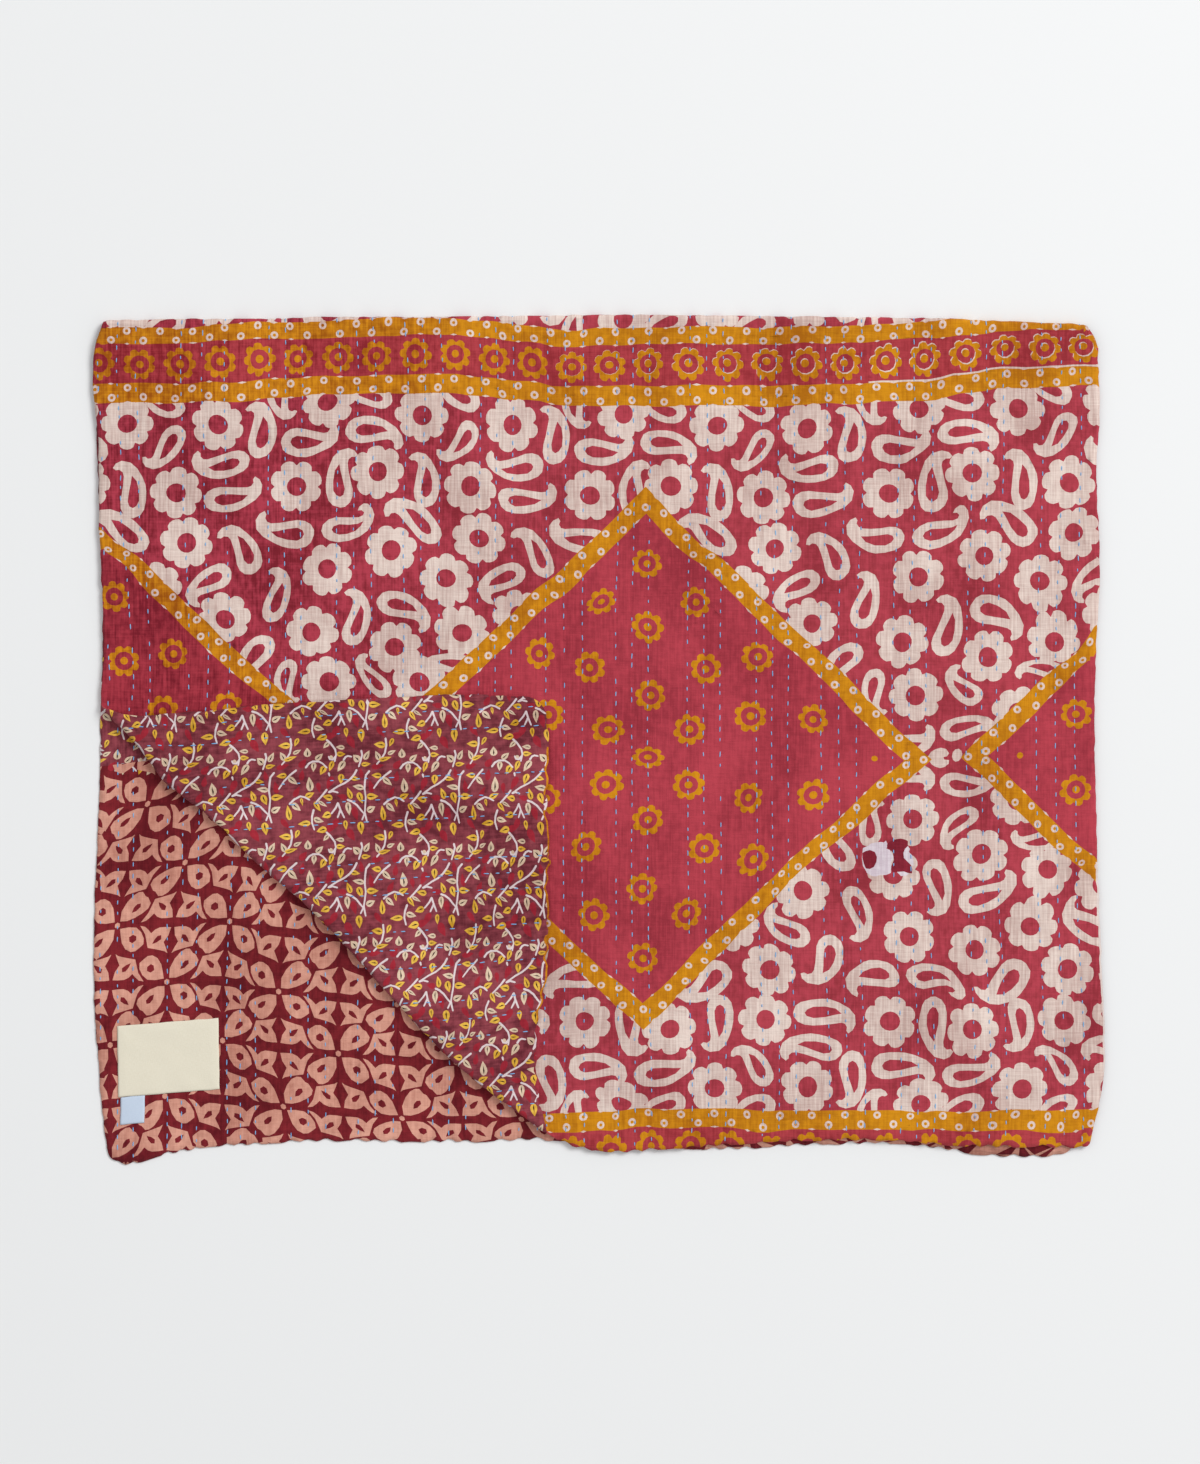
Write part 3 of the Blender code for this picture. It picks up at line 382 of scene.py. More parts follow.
IVORY_LEAVES = table(
    Leaf,
    (297.5, 751, 25, 9, 4.5), (307.5, 752, 90, 9.5, 8), (319.5, 756.5, 40, 10, 6),
    (326.5, 745, 225, 8.5, 5), (340.5, 747, 175, 9, 5), (341.5, 766, 235, 13, 7),
    (356.8, 757.3, 135, 9, 8), (367.7, 754, 60, 10.5, 6), (378.5, 754.5, 115, 10, 6),
    (314, 767, 265, 9.5, 6), (309.8, 784, 95, 14.5, 8), (359, 786, 170, 12, 6),
    (293.3, 780.5, 320, 12, 6), (296.3, 806, 320, 11, 6.5), (322.7, 803.3, 330, 10, 3.6),
    (348.3, 807, 275, 13, 6.5), (371.5, 807, 25, 10, 7), (318, 818.5, 345, 10.5, 6),
    (331, 757.5, 200, 5, 4.5),
)
CRIMSON_LEAVES = table(
    Leaf,
    (352, 742, 300, 14, 8), (331.5, 735, 20, 12, 7), (303, 763, 50, 11, 7), (330, 783, 245, 14, 7),
    (297, 791, 60, 12, 6), (319, 787.5, 280, 10, 5), (342, 796, 170, 10, 6),
    (372, 785, 100, 13, 6), (379, 765, 10, 13, 6), (355, 812, 285, 14, 7), (334, 823, 240, 14, 7),
    (302, 775, 80, 11, 6), (362, 772, 100, 10, 5), (380, 822, 310, 13, 6),
)
# A leaf's outline and its vein, in halves of its length and of its width
LEAF_SHAPE = [
    (-1, 0.0), (-0.86, 0.62), (-0.45, 1.0), (0.05, 0.92), (0.55, 0.5), (1, 0.0), (0.5, -0.45),
    (0.0, -0.82), (-0.5, -0.86), (-0.88, -0.5),
]
VEIN_SHAPE = [(-0.85, 0.0), (-0.35, 0.30), (0.45, 0.0), (-0.35, -0.10)]
STEM, STEM_TAPER = 0.95, (1.1, 0.85)  # half a stem's width, and its share at either end
STEMS = [
    [(386.5, 737.5), (387.5, 744), (386, 752), (382, 758.5), (378, 763)],
    [(327, 739.5), (331, 743), (335.5, 749), (336.5, 754), (335, 761)],
    [(336, 756), (333, 759.5), (330, 759), (329, 756.5)],
    [(344, 759.5), (346, 756.5), (348.5, 755.3), (352, 756)],
    [(362, 750), (363, 754), (361.5, 760), (359.7, 765.5)],
    [(306, 767.5), (309, 763.5), (313, 761.3), (319, 761.3), (323, 763.5), (327, 767.5)],
    [(357.5, 769), (355, 773.5), (350.5, 778.5), (345, 782.5), (338, 786), (333.5, 789), (329, 792)],
    [(329, 792), (333, 790.8), (338, 792)],
    [(327, 789.5), (323.5, 794), (319, 799), (316.5, 801.5)],
    [(370.5, 770), (367, 774), (366, 780), (365.5, 788), (366.5, 796), (365.5, 804), (364.5, 811)],
    [(364.5, 811), (366.5, 820)],
    [(347.5, 798.5), (352, 800), (357, 803.5), (361, 808.5), (364, 812), (361.5, 817.5)],
    [(392, 770), (386, 774.5), (380, 780), (375, 787)],
    [(289.5, 803), (294, 799), (300.5, 796), (305, 797), (309.5, 799.5)],
    [(313.5, 809), (311.5, 815), (311, 821), (313, 827.5)],
    [(337.8, 802), (335.5, 806.5), (331, 812)],
    [(337.8, 802), (340, 808), (343.5, 815.5)],
    [(340, 808.5), (337, 815.5)],
    [(329, 773), (329.6, 775.5)],
]

# How far the vine print is pulled, as it lies
VINE_DRIFTS = table(
    Drift,
    (204, 760, -2, 7), (241, 775, -1, 4), (315, 780, 0, 0), (389, 780, -1, 1), (463, 780, -2, 1),
    (500, 762, -5, -1), (537, 762, -5, 0), (545, 800, -11, 2), (500, 805, -7, 1), (352, 834, 1, 2),
    (426, 834, -1, 4), (463, 845, -2, 3), (300, 850, 2, 2), (352, 890, 1, 5), (426, 890, 0, 5),
    (503, 871, -8, 5), (545, 875, -11, 6), (463, 910, -2, 4), (426, 945, -1, 8), (463, 945, -3, 8),
    (503, 945, -10, 8), (545, 940, -12, 8), (463, 1000, -6, 9), (506, 1010, -14, 11),
    (280, 890, 1, 5.5), (512, 1060, -13, 12), (160, 720, 0, 2), (350, 710, 0, 0),
    (480, 710, -2, 0),
)

# The leaf print of the back. Half a repeat is drawn, and the other half is that half turned
# round: drops about a dot, and two kinds of cup about the point midway between two dots.
LEAF_AT = (222.0, 1040.0)
LEAF_STEP_X, LEAF_STEP_Y = 112.5, 59.8
LEAF_COLUMNS, LEAF_ROWS, LEAF_MARGINS = range(-5, 9), range(-6, 4), (130, 60, 60)
LEAF_DOT, DOT_SPIN, DOT_SQUASH = 2.8, 0.4, 1.1
LONG_DROP = [  # from its dot
    (2.2, -4), (2, -14), (6, -23), (11, -29.5), (16, -32.5), (20, -32.5), (22.5, -29.5),
    (23.5, -28), (26.5, -26.5), (30, -20.5), (28.5, -15.5), (23.5, -11), (16.5, -6.8), (9, -4),
]
LONG_HOLE = [(12.5, -12), (16.5, -13.3), (20.5, -17.5), (20, -21), (16.5, -20.5), (13.5, -17)]
SHORT_DROP = [
    (3.2, 3.5), (4.8, 10.5), (7, 18), (11.5, 24.5), (17, 27.5), (21.5, 27), (25.5, 23.8),
    (29, 20.5), (28.5, 14.5), (25, 8), (19.5, 3.2), (11.5, 2.4),
]
SHORT_HOLE = [(13.5, 12.5), (17, 10.2), (20.8, 12), (21, 16), (17.5, 18.8), (14.5, 17)]
CUP = [  # from the point between two dots
    (2, -31), (5, -29), (10, -27.5), (16, -26), (22.5, -24.5), (24.5, -18), (27, -10.5),
    (33, -1.7), (28, -3), (24, -6.5), (21, -10), (17.5, -6.5), (13, -4.6), (6.5, -4.5), (1.6, -5),
    (3.3, -13), (7.2, -19.5), (4.3, -25.5),
]
CUP_HOLE = [(10.5, -12.5), (10, -16.5), (14, -19.5), (18.5, -21), (17, -17), (14, -13)]
# How far the leaf print is pulled out of true, by x
LEAF_DRIFTS = table(
    Drift,
    (60, 1040, 0, 8), (110, 1040, 0, 5.5), (166, 1040, 0, 2), (222, 1040, 0, 1), (278, 1040, 0, 8),
    (334, 1040, 3.5, 14), (391, 1040, 6, 21), (503, 1040, 12, 22), (1100, 1040, 0, 0),
)

# The prints and stitches go on this far past what shows
UNDER_SIDE, UNDER_TOP, UNDER_TURN = 0.012, 0.010, 0.016  # beneath the turned corner
PAST_TURN, PAST_SEAM, PRINT_MARGIN = 0.012, 0.004, 0.002
HEM_FROM = -0.350  # the lower layer's print goes on round its hem, from this y

# The parts of the quilt, in the chart's squares, that the back's prints are drawn over
FLAP_WINDOW = ((95, 690), (560, 1160))
ABOVE_SEAM = ((90, 690), (175, 775))
BELOW_SEAM = ((85, 750), (1100, 1170))

# The seam between the two cloths of the back, as it lies on the lower layer
SEAM_X, SEAM_Y, SEAM_SLOPE, SEAM_END = -0.4513, -0.0243, 0.13, -0.395
SEAM_RIDGE, SEAM_RIDGE_AT, SEAM_RIDGE_WIDTH = 0.0004, 0.0015, 0.0018  # the folded edge beside it

# A worn place, where the outer cloth is torn and the cloth below shows
WORN_PALE = [
    (863, 848), (868, 846), (871, 843.5), (876, 842.5), (881, 842), (884, 842.5), (886, 840.5),
    (888, 845), (886.5, 848.5), (890, 850), (891.5, 853), (893.5, 856), (893.5, 859), (891, 862.5),
    (891.5, 868), (891, 873), (886, 875), (880, 875), (876, 876.5), (872, 876), (867, 873),
    (865.5, 870), (863, 866), (862, 858),
]
WORN_BLOT = [
    (862.5, 853), (866, 851), (870, 850), (875, 852), (877, 857), (876.5, 862), (874, 867),
    (870, 869), (866, 868.5), (864, 864), (862.5, 858),
]
WORN_DARK = [
    (894, 840), (897, 839), (901, 838.5), (905, 839.5), (908, 841), (908, 846), (905, 849),
    (903.5, 853), (904, 858), (907, 861), (911, 865), (912.5, 869), (912, 873.5), (908, 873),
    (904, 871.5), (898, 872), (893, 872.5), (891, 870), (891.5, 866), (894, 860), (893, 853),
    (891, 850), (887.5, 848), (887, 845), (889, 842),
]
WORN_EDGE = [
    (908, 846), (910, 849), (909, 852), (912, 855), (913.5, 860), (913.5, 866), (911, 865),
    (907, 861), (904, 858), (903.5, 853), (905, 849),
]
WORN_STRIP = [(897, 872), (904, 871.5), (909, 873.5), (906, 876), (901, 876)]
WORN = [
    ("worn_pale", WORN_PALE),
    ("worn_dark", WORN_BLOT),
    ("worn_dark", WORN_DARK),
    ("worn_pale", WORN_EDGE),
    ("worn_pale", WORN_STRIP),
]
WORN_AT, WORN_REACH, WORN_DEPTH = (888, 858), 30, 0.00035

# A strip of ink along a hem: its width, how uneven it is and over what length, and how far
# outside the cloth it begins
HEM_STRIP, HEM_STRIP_WAVE, HEM_STRIP_LENGTH, OUTSIDE = 0.0017, 0.0004, 0.011, -0.004
STRIP_STEP = 0.002
FRAYED = (-0.300, -0.108)  # the part of the right side, by v, where the hem's threads are bare
# Where the turned corner's right side shows the front's stripe, by u
ROLLED = [(-0.395, -0.350), (-0.338, -0.300), (-0.290, -0.240), (-0.225, -0.150)]

# The inks as they look, from 0 to 255: the deepest and the lightest, how much the threads
# show in them, and how mottled they are
Ink = namedtuple("Ink", "name deep light thread mottle")
INK_ROWS = table(
    Ink,
    ("rose", (122, 26, 40), (176, 58, 76), 0.14, 0.75),
    ("cream", (193, 164, 156), (231, 212, 202), 0.14, 0.15),
    ("yellow", (154, 80, 0), (212, 138, 18), 0.12, 0.60),
    ("faded", (120, 22, 38), (168, 52, 66), 0.14, 0.65),
    ("border", (132, 28, 38), (178, 61, 70), 0.14, 0.70),
    ("worn_pale", (204, 188, 198), (226, 216, 222), 0.15, 0.40),
    ("worn_dark", (118, 26, 42), (148, 40, 58), 0.10, 0.50),
    ("plum", (98, 34, 44), (150, 68, 78), 0.08, 0.75),
    ("mustard", (194, 142, 34), (242, 196, 84), 0.06, 0.60),
    ("ivory", (190, 162, 138), (232, 208, 180), 0.06, 0.50),
    ("crimson", (138, 26, 42), (168, 42, 56), 0.06, 0.60),
    ("stem", (204, 186, 188), (232, 218, 218), 0.06, 0.30),
    ("vein", (40, 24, 16), (60, 36, 24), 0.03, 0.30),
    ("maroon", (94, 14, 24), (132, 34, 42), 0.08, 0.60),
    ("salmon", (186, 124, 108), (226, 166, 146), 0.07, 0.40),
    ("hem_front", (140, 40, 54), (176, 84, 84), 0.10, 0.50),
    ("hem_pale", (204, 188, 182), (222, 208, 202), 0.10, 0.40),
)
INKS = [row.name for row in INK_ROWS]
# Their noises: how many bumps to a metre across and along the cloth, and the detail
FADE, MOTTLE = (14.0, 10.0, 3.0), (160.0, 120.0, 3.0)
WARP, WEFT = (560.0, 30.0, 2.0), (30.0, 700.0, 1.0)
GRAIN_WARP, GRAIN_WEFT = (900.0, 90.0, 1.0), (90.0, 900.0, 1.0)
GATHERS = (90.0, 330.0, 2.0)
THREAD_DEEP, THREAD_LIGHT = (92, 154, 212), (146, 196, 236)
# Each label's deep and light colour, and its roughness
LABEL_LOOKS = {
    "label": ((222, 214, 192), (238, 232, 214), 0.85),
    "care_label": ((190, 205, 226), (206, 219, 236), 0.5),
}
FADE_FROM, FADE_TO, FADE_MOST = -0.34, 0.05, 0.62  # the front has faded more and more, by u
FADES = {
    "rose": (187, 71, 81),
    "faded": (200, 74, 88),
    "border": (179, 64, 71),
    "yellow": (211, 144, 9),
}

# Worked out from the sizes above
TURN_ALONG = (TURN_END - TURN_START).normalized()
TURN_OUT = Vector((TURN_ALONG.y, -TURN_ALONG.x))  # towards the corner, before it is turned
TURN_APEX = TURN_RADIUS * (pi / 2 - 1)  # the bend's outermost line, along the cloth
ROW_U = np.array([g.middle + k * g.step for g in ROW_GROUPS for k in (-1, 0, 1)])
ROW_EDGES = np.concatenate([[ROW_U[0] - 0.02], ROW_U, [ROW_U[-1] + 0.02]])
ROW_NUMBERS = range(len(ROW_EDGES))
ROW_START = STITCH_PITCH * np.array([(0.37 * k + 0.21 * sin(5.1 * k)) % 1.0 for k in ROW_NUMBERS])


# ---------------------------------------------------------------- The cloth's shape


def smooth(rows, at):
    """The second column of a table where its first has the values at."""
    along, value = np.array(sorted(rows)).T
    at = np.asarray(at, float)
    slope = np.gradient(value, along)
    k = np.clip(np.searchsorted(along, at) - 1, 0, len(along) - 2)
    step = along[k + 1] - along[k]
    t = np.clip((at - along[k]) / step, 0.0, 1.0)
    rise = t * t * (3.0 - 2.0 * t)
    bend = slope[k] * t * (1.0 - t) ** 2 - slope[k + 1] * t * t * (1.0 - t)
    return value[k] * (1.0 - rise) + value[k + 1] * rise + step * bend


def ease(t):
    """0 to 1 as t goes from 0 to 1, level at both ends."""
    t = np.clip(t, 0.0, 1.0)
    return t * t * (3.0 - 2.0 * t)


def scattered(i, j, seed):
    """An even scatter of numbers from 0 to 1, one for each pair of whole numbers."""
    i, j = np.asarray(i, np.int64), np.asarray(j, np.int64)
    n = (i * 374761393 + j * 668265263 + seed * 974634777) & 0xFFFFFFFF
    n = ((n ^ (n >> 13)) * 1274126177) & 0xFFFFFFFF
    return ((n ^ (n >> 16)) & 0xFFFF) / 65535.0


def uneven(x, y, seed):
    """A smooth field that wanders from -1 to 1, a bump to each unit."""
    x, y = np.asarray(x, float), np.asarray(y, float)
    i, j = np.floor(x), np.floor(y)
    s, t = ease(x - i), ease(y - j)
    low = scattered(i, j, seed) * (1 - s) + scattered(i + 1, j, seed) * s
    high = scattered(i, j + 1, seed) * (1 - s) + scattered(i + 1, j + 1, seed) * s
    return 2.0 * (low * (1 - t) + high * t) - 1.0


def fold_y(u):
    """The y of the middle of the cloth at the fold's outermost line."""
    return smooth(FOLD, u) - (THICKNESS + RIDGE) / 2


def apex(u):
    """The v of the fold's outermost line."""
    return fold_y(u) + FOLD_RADIUS * (pi / 2 - 1)


def turn_frame(x, y):
    """How far a point lies along the turned corner's fold, and how far out past it."""
    dx, dy = x - TURN_START.x, y - TURN_START.y
    along = dx * TURN_ALONG.x + dy * TURN_ALONG.y
    out = dx * TURN_OUT.x + dy * TURN_OUT.y
    return along, out


def turn_point(along, out):
    """The flat cloth's point at a place in the turned corner's frame."""
    x = TURN_START.x + along * TURN_ALONG.x + out * TURN_OUT.x
    y = TURN_START.y + along * TURN_ALONG.y + out * TURN_OUT.y
    return x, y


def bow(along, across):
    """How far out the turned corner's fold is pushed."""
    return smooth(TURN_BOW, along) * (1.0 - ease(np.abs(across) / BOW_REACH))


def swell(x, y):
    """Height of the upper layer's creases and swells."""
    height = np.zeros(np.broadcast(x, y).shape)
    for c in CREASES:
        dx, dy = c.x1 - c.x0, c.y1 - c.y0
        t = np.clip(((x - c.x0) * dx + (y - c.y0) * dy) / (dx * dx + dy * dy), 0.0, 1.0)
        away = np.hypot(x - c.x0 - t * dx, y - c.y0 - t * dy)
        height = height + c.height * (1.0 - ease(away / c.width))
    return height


def lie(u, v):
    """Where points of the flat cloth's middle lie on the folded quilt."""
    past = v - apex(u)
    turn = np.clip(past / FOLD_RADIUS, -pi / 2, pi / 2)
    run = np.maximum(np.abs(past) - pi / 2 * FOLD_RADIUS, 0.0)
    y = fold_y(u) - FOLD_RADIUS * (1.0 - np.cos(turn)) - run
    round_z = LOWER_Z + FOLD_RADIUS * (1.0 - np.sin(turn))
    down = ease(run / FOLD_PUFF)
    upper_z = round_z + down * (UPPER_Z + swell(u, y) - LOWER_Z - 2 * FOLD_RADIUS)
    z = np.where(past < 0.0, upper_z, round_z)

    along, out = turn_frame(u, v)
    turn = np.clip((out - TURN_APEX) / TURN_RADIUS, -pi / 2, pi / 2)
    run = np.maximum(out - TURN_APEX - pi / 2 * TURN_RADIUS, 0.0)
    turned = TURN_RADIUS * (np.cos(turn) - 1.0) - run
    before = out < -TURN_RADIUS
    across = np.where(before, out, turned)
    x, turned_y = turn_point(along, across + bow(along, across))
    lift = TURN_RADIUS * (1.0 + np.sin(turn))
    lift = lift + ease(run / TURN_PUFF) * (FLAP_RISE - 2 * TURN_RADIUS)
    flap_z = UPPER_Z + swell(x, turned_y) + lift
    return np.stack(
        [
            np.where(past < -FOLD_PUFF, x, u),
            np.where(past < -FOLD_PUFF, turned_y, y),
            np.where(before, z, flap_z),
        ],
        axis=-1,
    )


def facing(u, v):
    """Unit normals of the cloth's front, where its middle lies."""
    step = FACING_STEP
    across = lie(u + step, v) - lie(u - step, v)
    along = lie(u, v + step) - lie(u, v - step)
    normal = np.cross(across, along)
    return normal / np.linalg.norm(normal, axis=-1, keepdims=True)


def slant(u, v):
    """How far to the left the rows of stitches have wandered at a point."""
    past = v - apex(u)
    under = sum(
        s.far * ease((u - s.u) / s.u_reach) * ease((past - s.past) / s.past_reach) for s in SLANTS
    )
    stations = range(len(ROW_STATIONS))
    pulls = [smooth([(p.v, p.mm[k] / 1000) for p in ROW_PULLS], v) for k in stations]
    upper = pulls[0]
    for k in range(1, len(ROW_STATIONS)):
        t = (u - ROW_STATIONS[k - 1]) / (ROW_STATIONS[k] - ROW_STATIONS[k - 1])
        upper = upper + np.clip(t, 0.0, 1.0) * (pulls[k] - pulls[k - 1])
    return under - upper


def row_place(row_u, v):
    """The u of a row of stitches at v."""
    u = row_u
    for _ in range(5):
        u = row_u - slant(u, v)
    return u


def between_rows(u, v):
    """The channel that a point lies in, the nearest row, and how near it is, 1 on it."""
    along = u + slant(u, v)
    k = np.clip(np.searchsorted(ROW_EDGES, along) - 1, 0, len(ROW_EDGES) - 2)
    below, above = along - ROW_EDGES[k], ROW_EDGES[k + 1] - along
    away = np.clip(np.minimum(below, above) / ROW_REACH, 0.0, 1.0)
    return k, k + (above < below), 1.0 - away


def quilting(u, v, side):
    """Height of a face between rows of stitches, with the puckers that they draw."""
    k, row, near = between_rows(u, v)
    swollen = PUFF_MEAN + PUFF_SWING * np.sin(v / PUFF_WAVE + 2.4 * k)
    height = RIDGE * np.cos(pi / 2 * near) ** 1.5 * swollen
    beat = np.cos(2 * pi * (v - ROW_START[row]) / STITCH_PITCH)
    height = height - side * STITCH_DIP * near**3 * beat
    ripple = sum(r.height * uneven(u / r.across, v / r.along, r.seed) for r in RIPPLES)
    return height + ripple * (1.0 - ROW_CALM * near)


def scallop(u, v):
    """How far the rows of stitches draw a hem in at u."""
    return SCALLOP * np.cos(pi * (1.0 - between_rows(u, v)[2]))


def untuck(points):
    """Places on the turned corner as it lies, as points of the flat cloth."""
    along, out = turn_frame(points[..., 0], points[..., 1])
    return np.stack(turn_point(along, 2 * TURN_APEX - out), axis=-1)


def unfold(points):
    """Places on the lower layer as it lies, as points of the flat cloth."""
    u = points[..., 0]
    return np.stack([u, 2 * apex(u) - points[..., 1]], axis=-1)


def flat_edge(rows, swapped, unlaid):
    """Rows of an edge as it lies, as rows of the same edge on the flat cloth."""
    points = np.array([(row.at, row.along) if swapped else row for row in rows])
    return [Edge(p[1], p[0]) if swapped else Edge(*p) for p in unlaid(points)]


def swapped_rows(rows):
    """An edge's rows, told the other way: a side as a hem, and a hem as a side."""
    return [Edge(p.at, p.along) for p in rows]


FLAT_LEFT = (
    swapped_rows(flat_edge(FLAP_TOP, False, untuck))
    + UPPER_LEFT
    + flat_edge(LOWER_LEFT, True, unfold)
)
FLAT_RIGHT = UPPER_RIGHT + flat_edge(LOWER_RIGHT, True, unfold)
FLAT_BOTTOM = swapped_rows(flat_edge(FLAP_SIDE, True, untuck)) + UPPER_HEM
FLAT_TOP = flat_edge(LOWER_HEM, False, unfold)


def wave(v, seed):
    """How far a side's edge wanders in and out."""
    slow, quick = EDGE_WAVES
    wander = slow.far * uneven(v / slow.length, 0.5, seed)
    return wander + quick.far * uneven(v / quick.length, 0.5, seed + 1)


def left(v):
    return smooth(FLAT_LEFT, v) + wave(v, 11)


def right(v):
    return smooth(FLAT_RIGHT, v) + wave(v, 21)


def bottom(u):
    v = smooth(FLAT_BOTTOM, u)
    return v + scallop(u, v) + wave(u, 31)


def top(u):
    v = smooth(FLAT_TOP, u)
    return v - scallop(u, v) + wave(u, 41)


def steps(low, high, step):
    """Even values from low to high, both included, about a step apart."""
    return np.linspace(low, high, max(2, int((high - low) / step + 1.5)))


def rounded(before, corner, after):
    """Points that take a corner off between two points of an outline."""
    t = np.linspace(0, 1, 8)[1:-1, None]
    before, corner, after = (np.asarray(p, float) for p in (before, corner, after))
    return before * (1 - t) ** 2 + corner * 2 * t * (1 - t) + after * t * t


def rim():
    """The flat cloth's edge, anticlockwise."""
    corner = untuck(np.array(FLAP_CORNER))
    right_corner = np.array([UPPER_HEM[-1].along, UPPER_HEM[-1].at])
    under_right = unfold(np.array([LOWER_HEM[-1].along, LOWER_HEM[-1].at]))
    under_left = unfold(np.array([LOWER_HEM[0].along, LOWER_HEM[0].at]))
    radii = CORNER_RADII
    u = steps(corner[0] + radii["turned"], right_corner[0] - radii["right"], RIM_STEP)
    hem = np.stack([u, bottom(u)], axis=-1)
    v = steps(right_corner[1] + radii["right"], under_right[1] - radii["under right"], RIM_STEP)
    side = np.stack([right(v), v], axis=-1)
    u = steps(under_left[0] + radii["under left"], under_right[0] - radii["under right"], RIM_STEP)
    far_hem = np.stack([u, top(u)], axis=-1)[::-1]
    v = steps(corner[1] + radii["turned"], under_left[1] - radii["under left"], RIM_STEP)
    far_side = np.stack([left(v), v], axis=-1)[::-1]
    sides = [hem, side, far_hem, far_side]
    corners = [right_corner, under_right, under_left, corner]
    points = []
    for k, run in enumerate(sides):
        points += [run, rounded(run[-1], corners[k], sides[(k + 1) % 4][0])]
    return np.concatenate(points)


def tree_of(points):
    """A tree that finds the nearest of some points."""
    tree = KDTree(len(points))
    for k, p in enumerate(points):
        tree.insert((p[0], p[1], 0.0), k)
    tree.balance()
    return tree


def to_nearest(tree, points):
    """How far each point lies from the nearest one in a tree."""
    return np.array([tree.find((p[0], p[1], 0.0))[2] for p in points])


RIM = rim()
RIM_TREE = tree_of(RIM)


def inside(points, ring):
    """True for each point that lies within a closed ring."""
    x, y = points[:, 0], points[:, 1]
    within = np.zeros(len(points), bool)
    for a, b in zip(ring, np.roll(ring, -1, axis=0)):
        if a[1] == b[1]:
            continue
        crosses = (a[1] > y) != (b[1] > y)
        within ^= crosses & (x < a[0] + (b[0] - a[0]) * (y - a[1]) / (b[1] - a[1]))
    return within


def from_rim(points):
    """How far each point lies from the cloth's edge."""
    return to_nearest(RIM_TREE, points)


def shows_front(u, v, margin=0.0):
    """True where the front shows: the upper layer, but not under the turned corner."""
    beside = u > FLAP_SIDE[0].at - UNDER_SIDE - margin
    above = v > smooth(FLAP_TOP, u) - UNDER_TOP - margin
    return (beside | above) & (v < apex(u) + pi / 2 * FOLD_RADIUS + margin)


def shows_back(u, v, margin=0.0):
    """True where the back shows: the turned corner, and what it uncovers."""
    past = v - apex(u)
    turned = turn_frame(u, v)[1] > -TURN_RADIUS - margin
    uncovered = (turn_frame(u, v - 2 * past)[1] > -UNDER_TURN - margin) & (past > FOLD_PUFF)
    return np.where(past < 0.0, turned, uncovered)


def pressed(u, v):
    """From 0 well away from a label to 1 under it."""
    x, y = u, 2 * apex(u) - v
    most = np.zeros(np.broadcast(u, v).shape)
    for label in LABELS:
        dx, dy = x - label.x, y - label.y
        along = np.abs(dx * cos(label.turn) + dy * sin(label.turn)) - label.width / 2
        across = np.abs(dy * cos(label.turn) - dx * sin(label.turn)) - label.height / 2
        most = np.maximum(most, 1.0 - ease(np.maximum(along, across) / PRESSED))
    return most * (v > apex(u))


def seam_y(x):
    """The y of the back's seam, where it lies on the lower layer."""
    return SEAM_Y + SEAM_SLOPE * (np.minimum(x, SEAM_END) - SEAM_X)


def worn(u, v):
    """1 in the middle of the worn place, 0 outside it."""
    x, y = u / SQUARE + CHART_X, CHART_Y - v / SQUARE
    away = np.hypot(x - WORN_AT[0], (y - WORN_AT[1]) * 1.3)
    return 1.0 - ease((away - WORN_REACH * 0.55) / (WORN_REACH * 0.45))


def front_height(u, v, away):
    """How far the front stands from the cloth's middle."""
    shown = shows_front(u, v, SHOWN_MARGIN)
    around = (v - apex(u)) / FOLD_RADIUS
    puff = quilting(u, v, 1.0) * (1.0 - ease(around / (pi / 2))) - WORN_DEPTH * worn(u, v)
    return edge_height(away) + np.where(shown, puff, 0.0) * ease(away / PUFF_FROM_EDGE)


def back_height(u, v, away):
    """How far the back stands from the cloth's middle."""
    shown = shows_back(u, v, SHOWN_MARGIN)
    puff = quilting(u, v, -1.0) * (1.0 - pressed(u, v))
    from_seam = seam_y(u) - (2 * apex(u) - v)
    beside = (from_seam - SEAM_RIDGE_AT) / SEAM_RIDGE_WIDTH
    seam = SEAM_RIDGE * np.exp(-(beside**2)) * (v > apex(u))
    return edge_height(away) + np.where(shown, puff + seam, 0.0) * ease(away / PUFF_FROM_EDGE)


def edge_height(away):
    """Half the cloth's thickness, thinner and rounded at the hem."""
    round_edge = np.sqrt(np.clip(1.0 - (1.0 - away / EDGE_ROUND) ** 2, 0.0, 1.0))
    sharp, rest = EDGE_SHARE
    hem = HEM_THICKNESS / 2 * (sharp + rest * np.where(away < EDGE_ROUND, round_edge, 1.0))
    return hem + (THICKNESS - HEM_THICKNESS) / 2 * ease((away - TO_FULL[0]) / TO_FULL[1])


def on_cloth(u, v, side, lift=0.0):
    """Places on a face of the cloth, side 1 for its front and -1 for its back."""
    away = from_rim(np.stack([u, v], axis=-1))
    height = front_height(u, v, away) if side > 0 else back_height(u, v, away)
    return lie(u, v) + side * (height + lift)[:, None] * facing(u, v)


# ---------------------------------------------------------------- The prints

Print = namedtuple("Print", "ink ring")


def placed(points):
    """Squares of a chart, as places on the quilt as it lies."""
    points = np.asarray(points, float)
    return np.stack([(points[:, 0] - CHART_X), (CHART_Y - points[:, 1])], axis=-1) * SQUARE


def circle(x, y, radius, count, spin=0.0, squash=1.0):
    angles = spin + 2 * pi * np.arange(count) / count
    return np.stack([x + radius * np.cos(angles), y + squash * radius * np.sin(angles)], axis=-1)


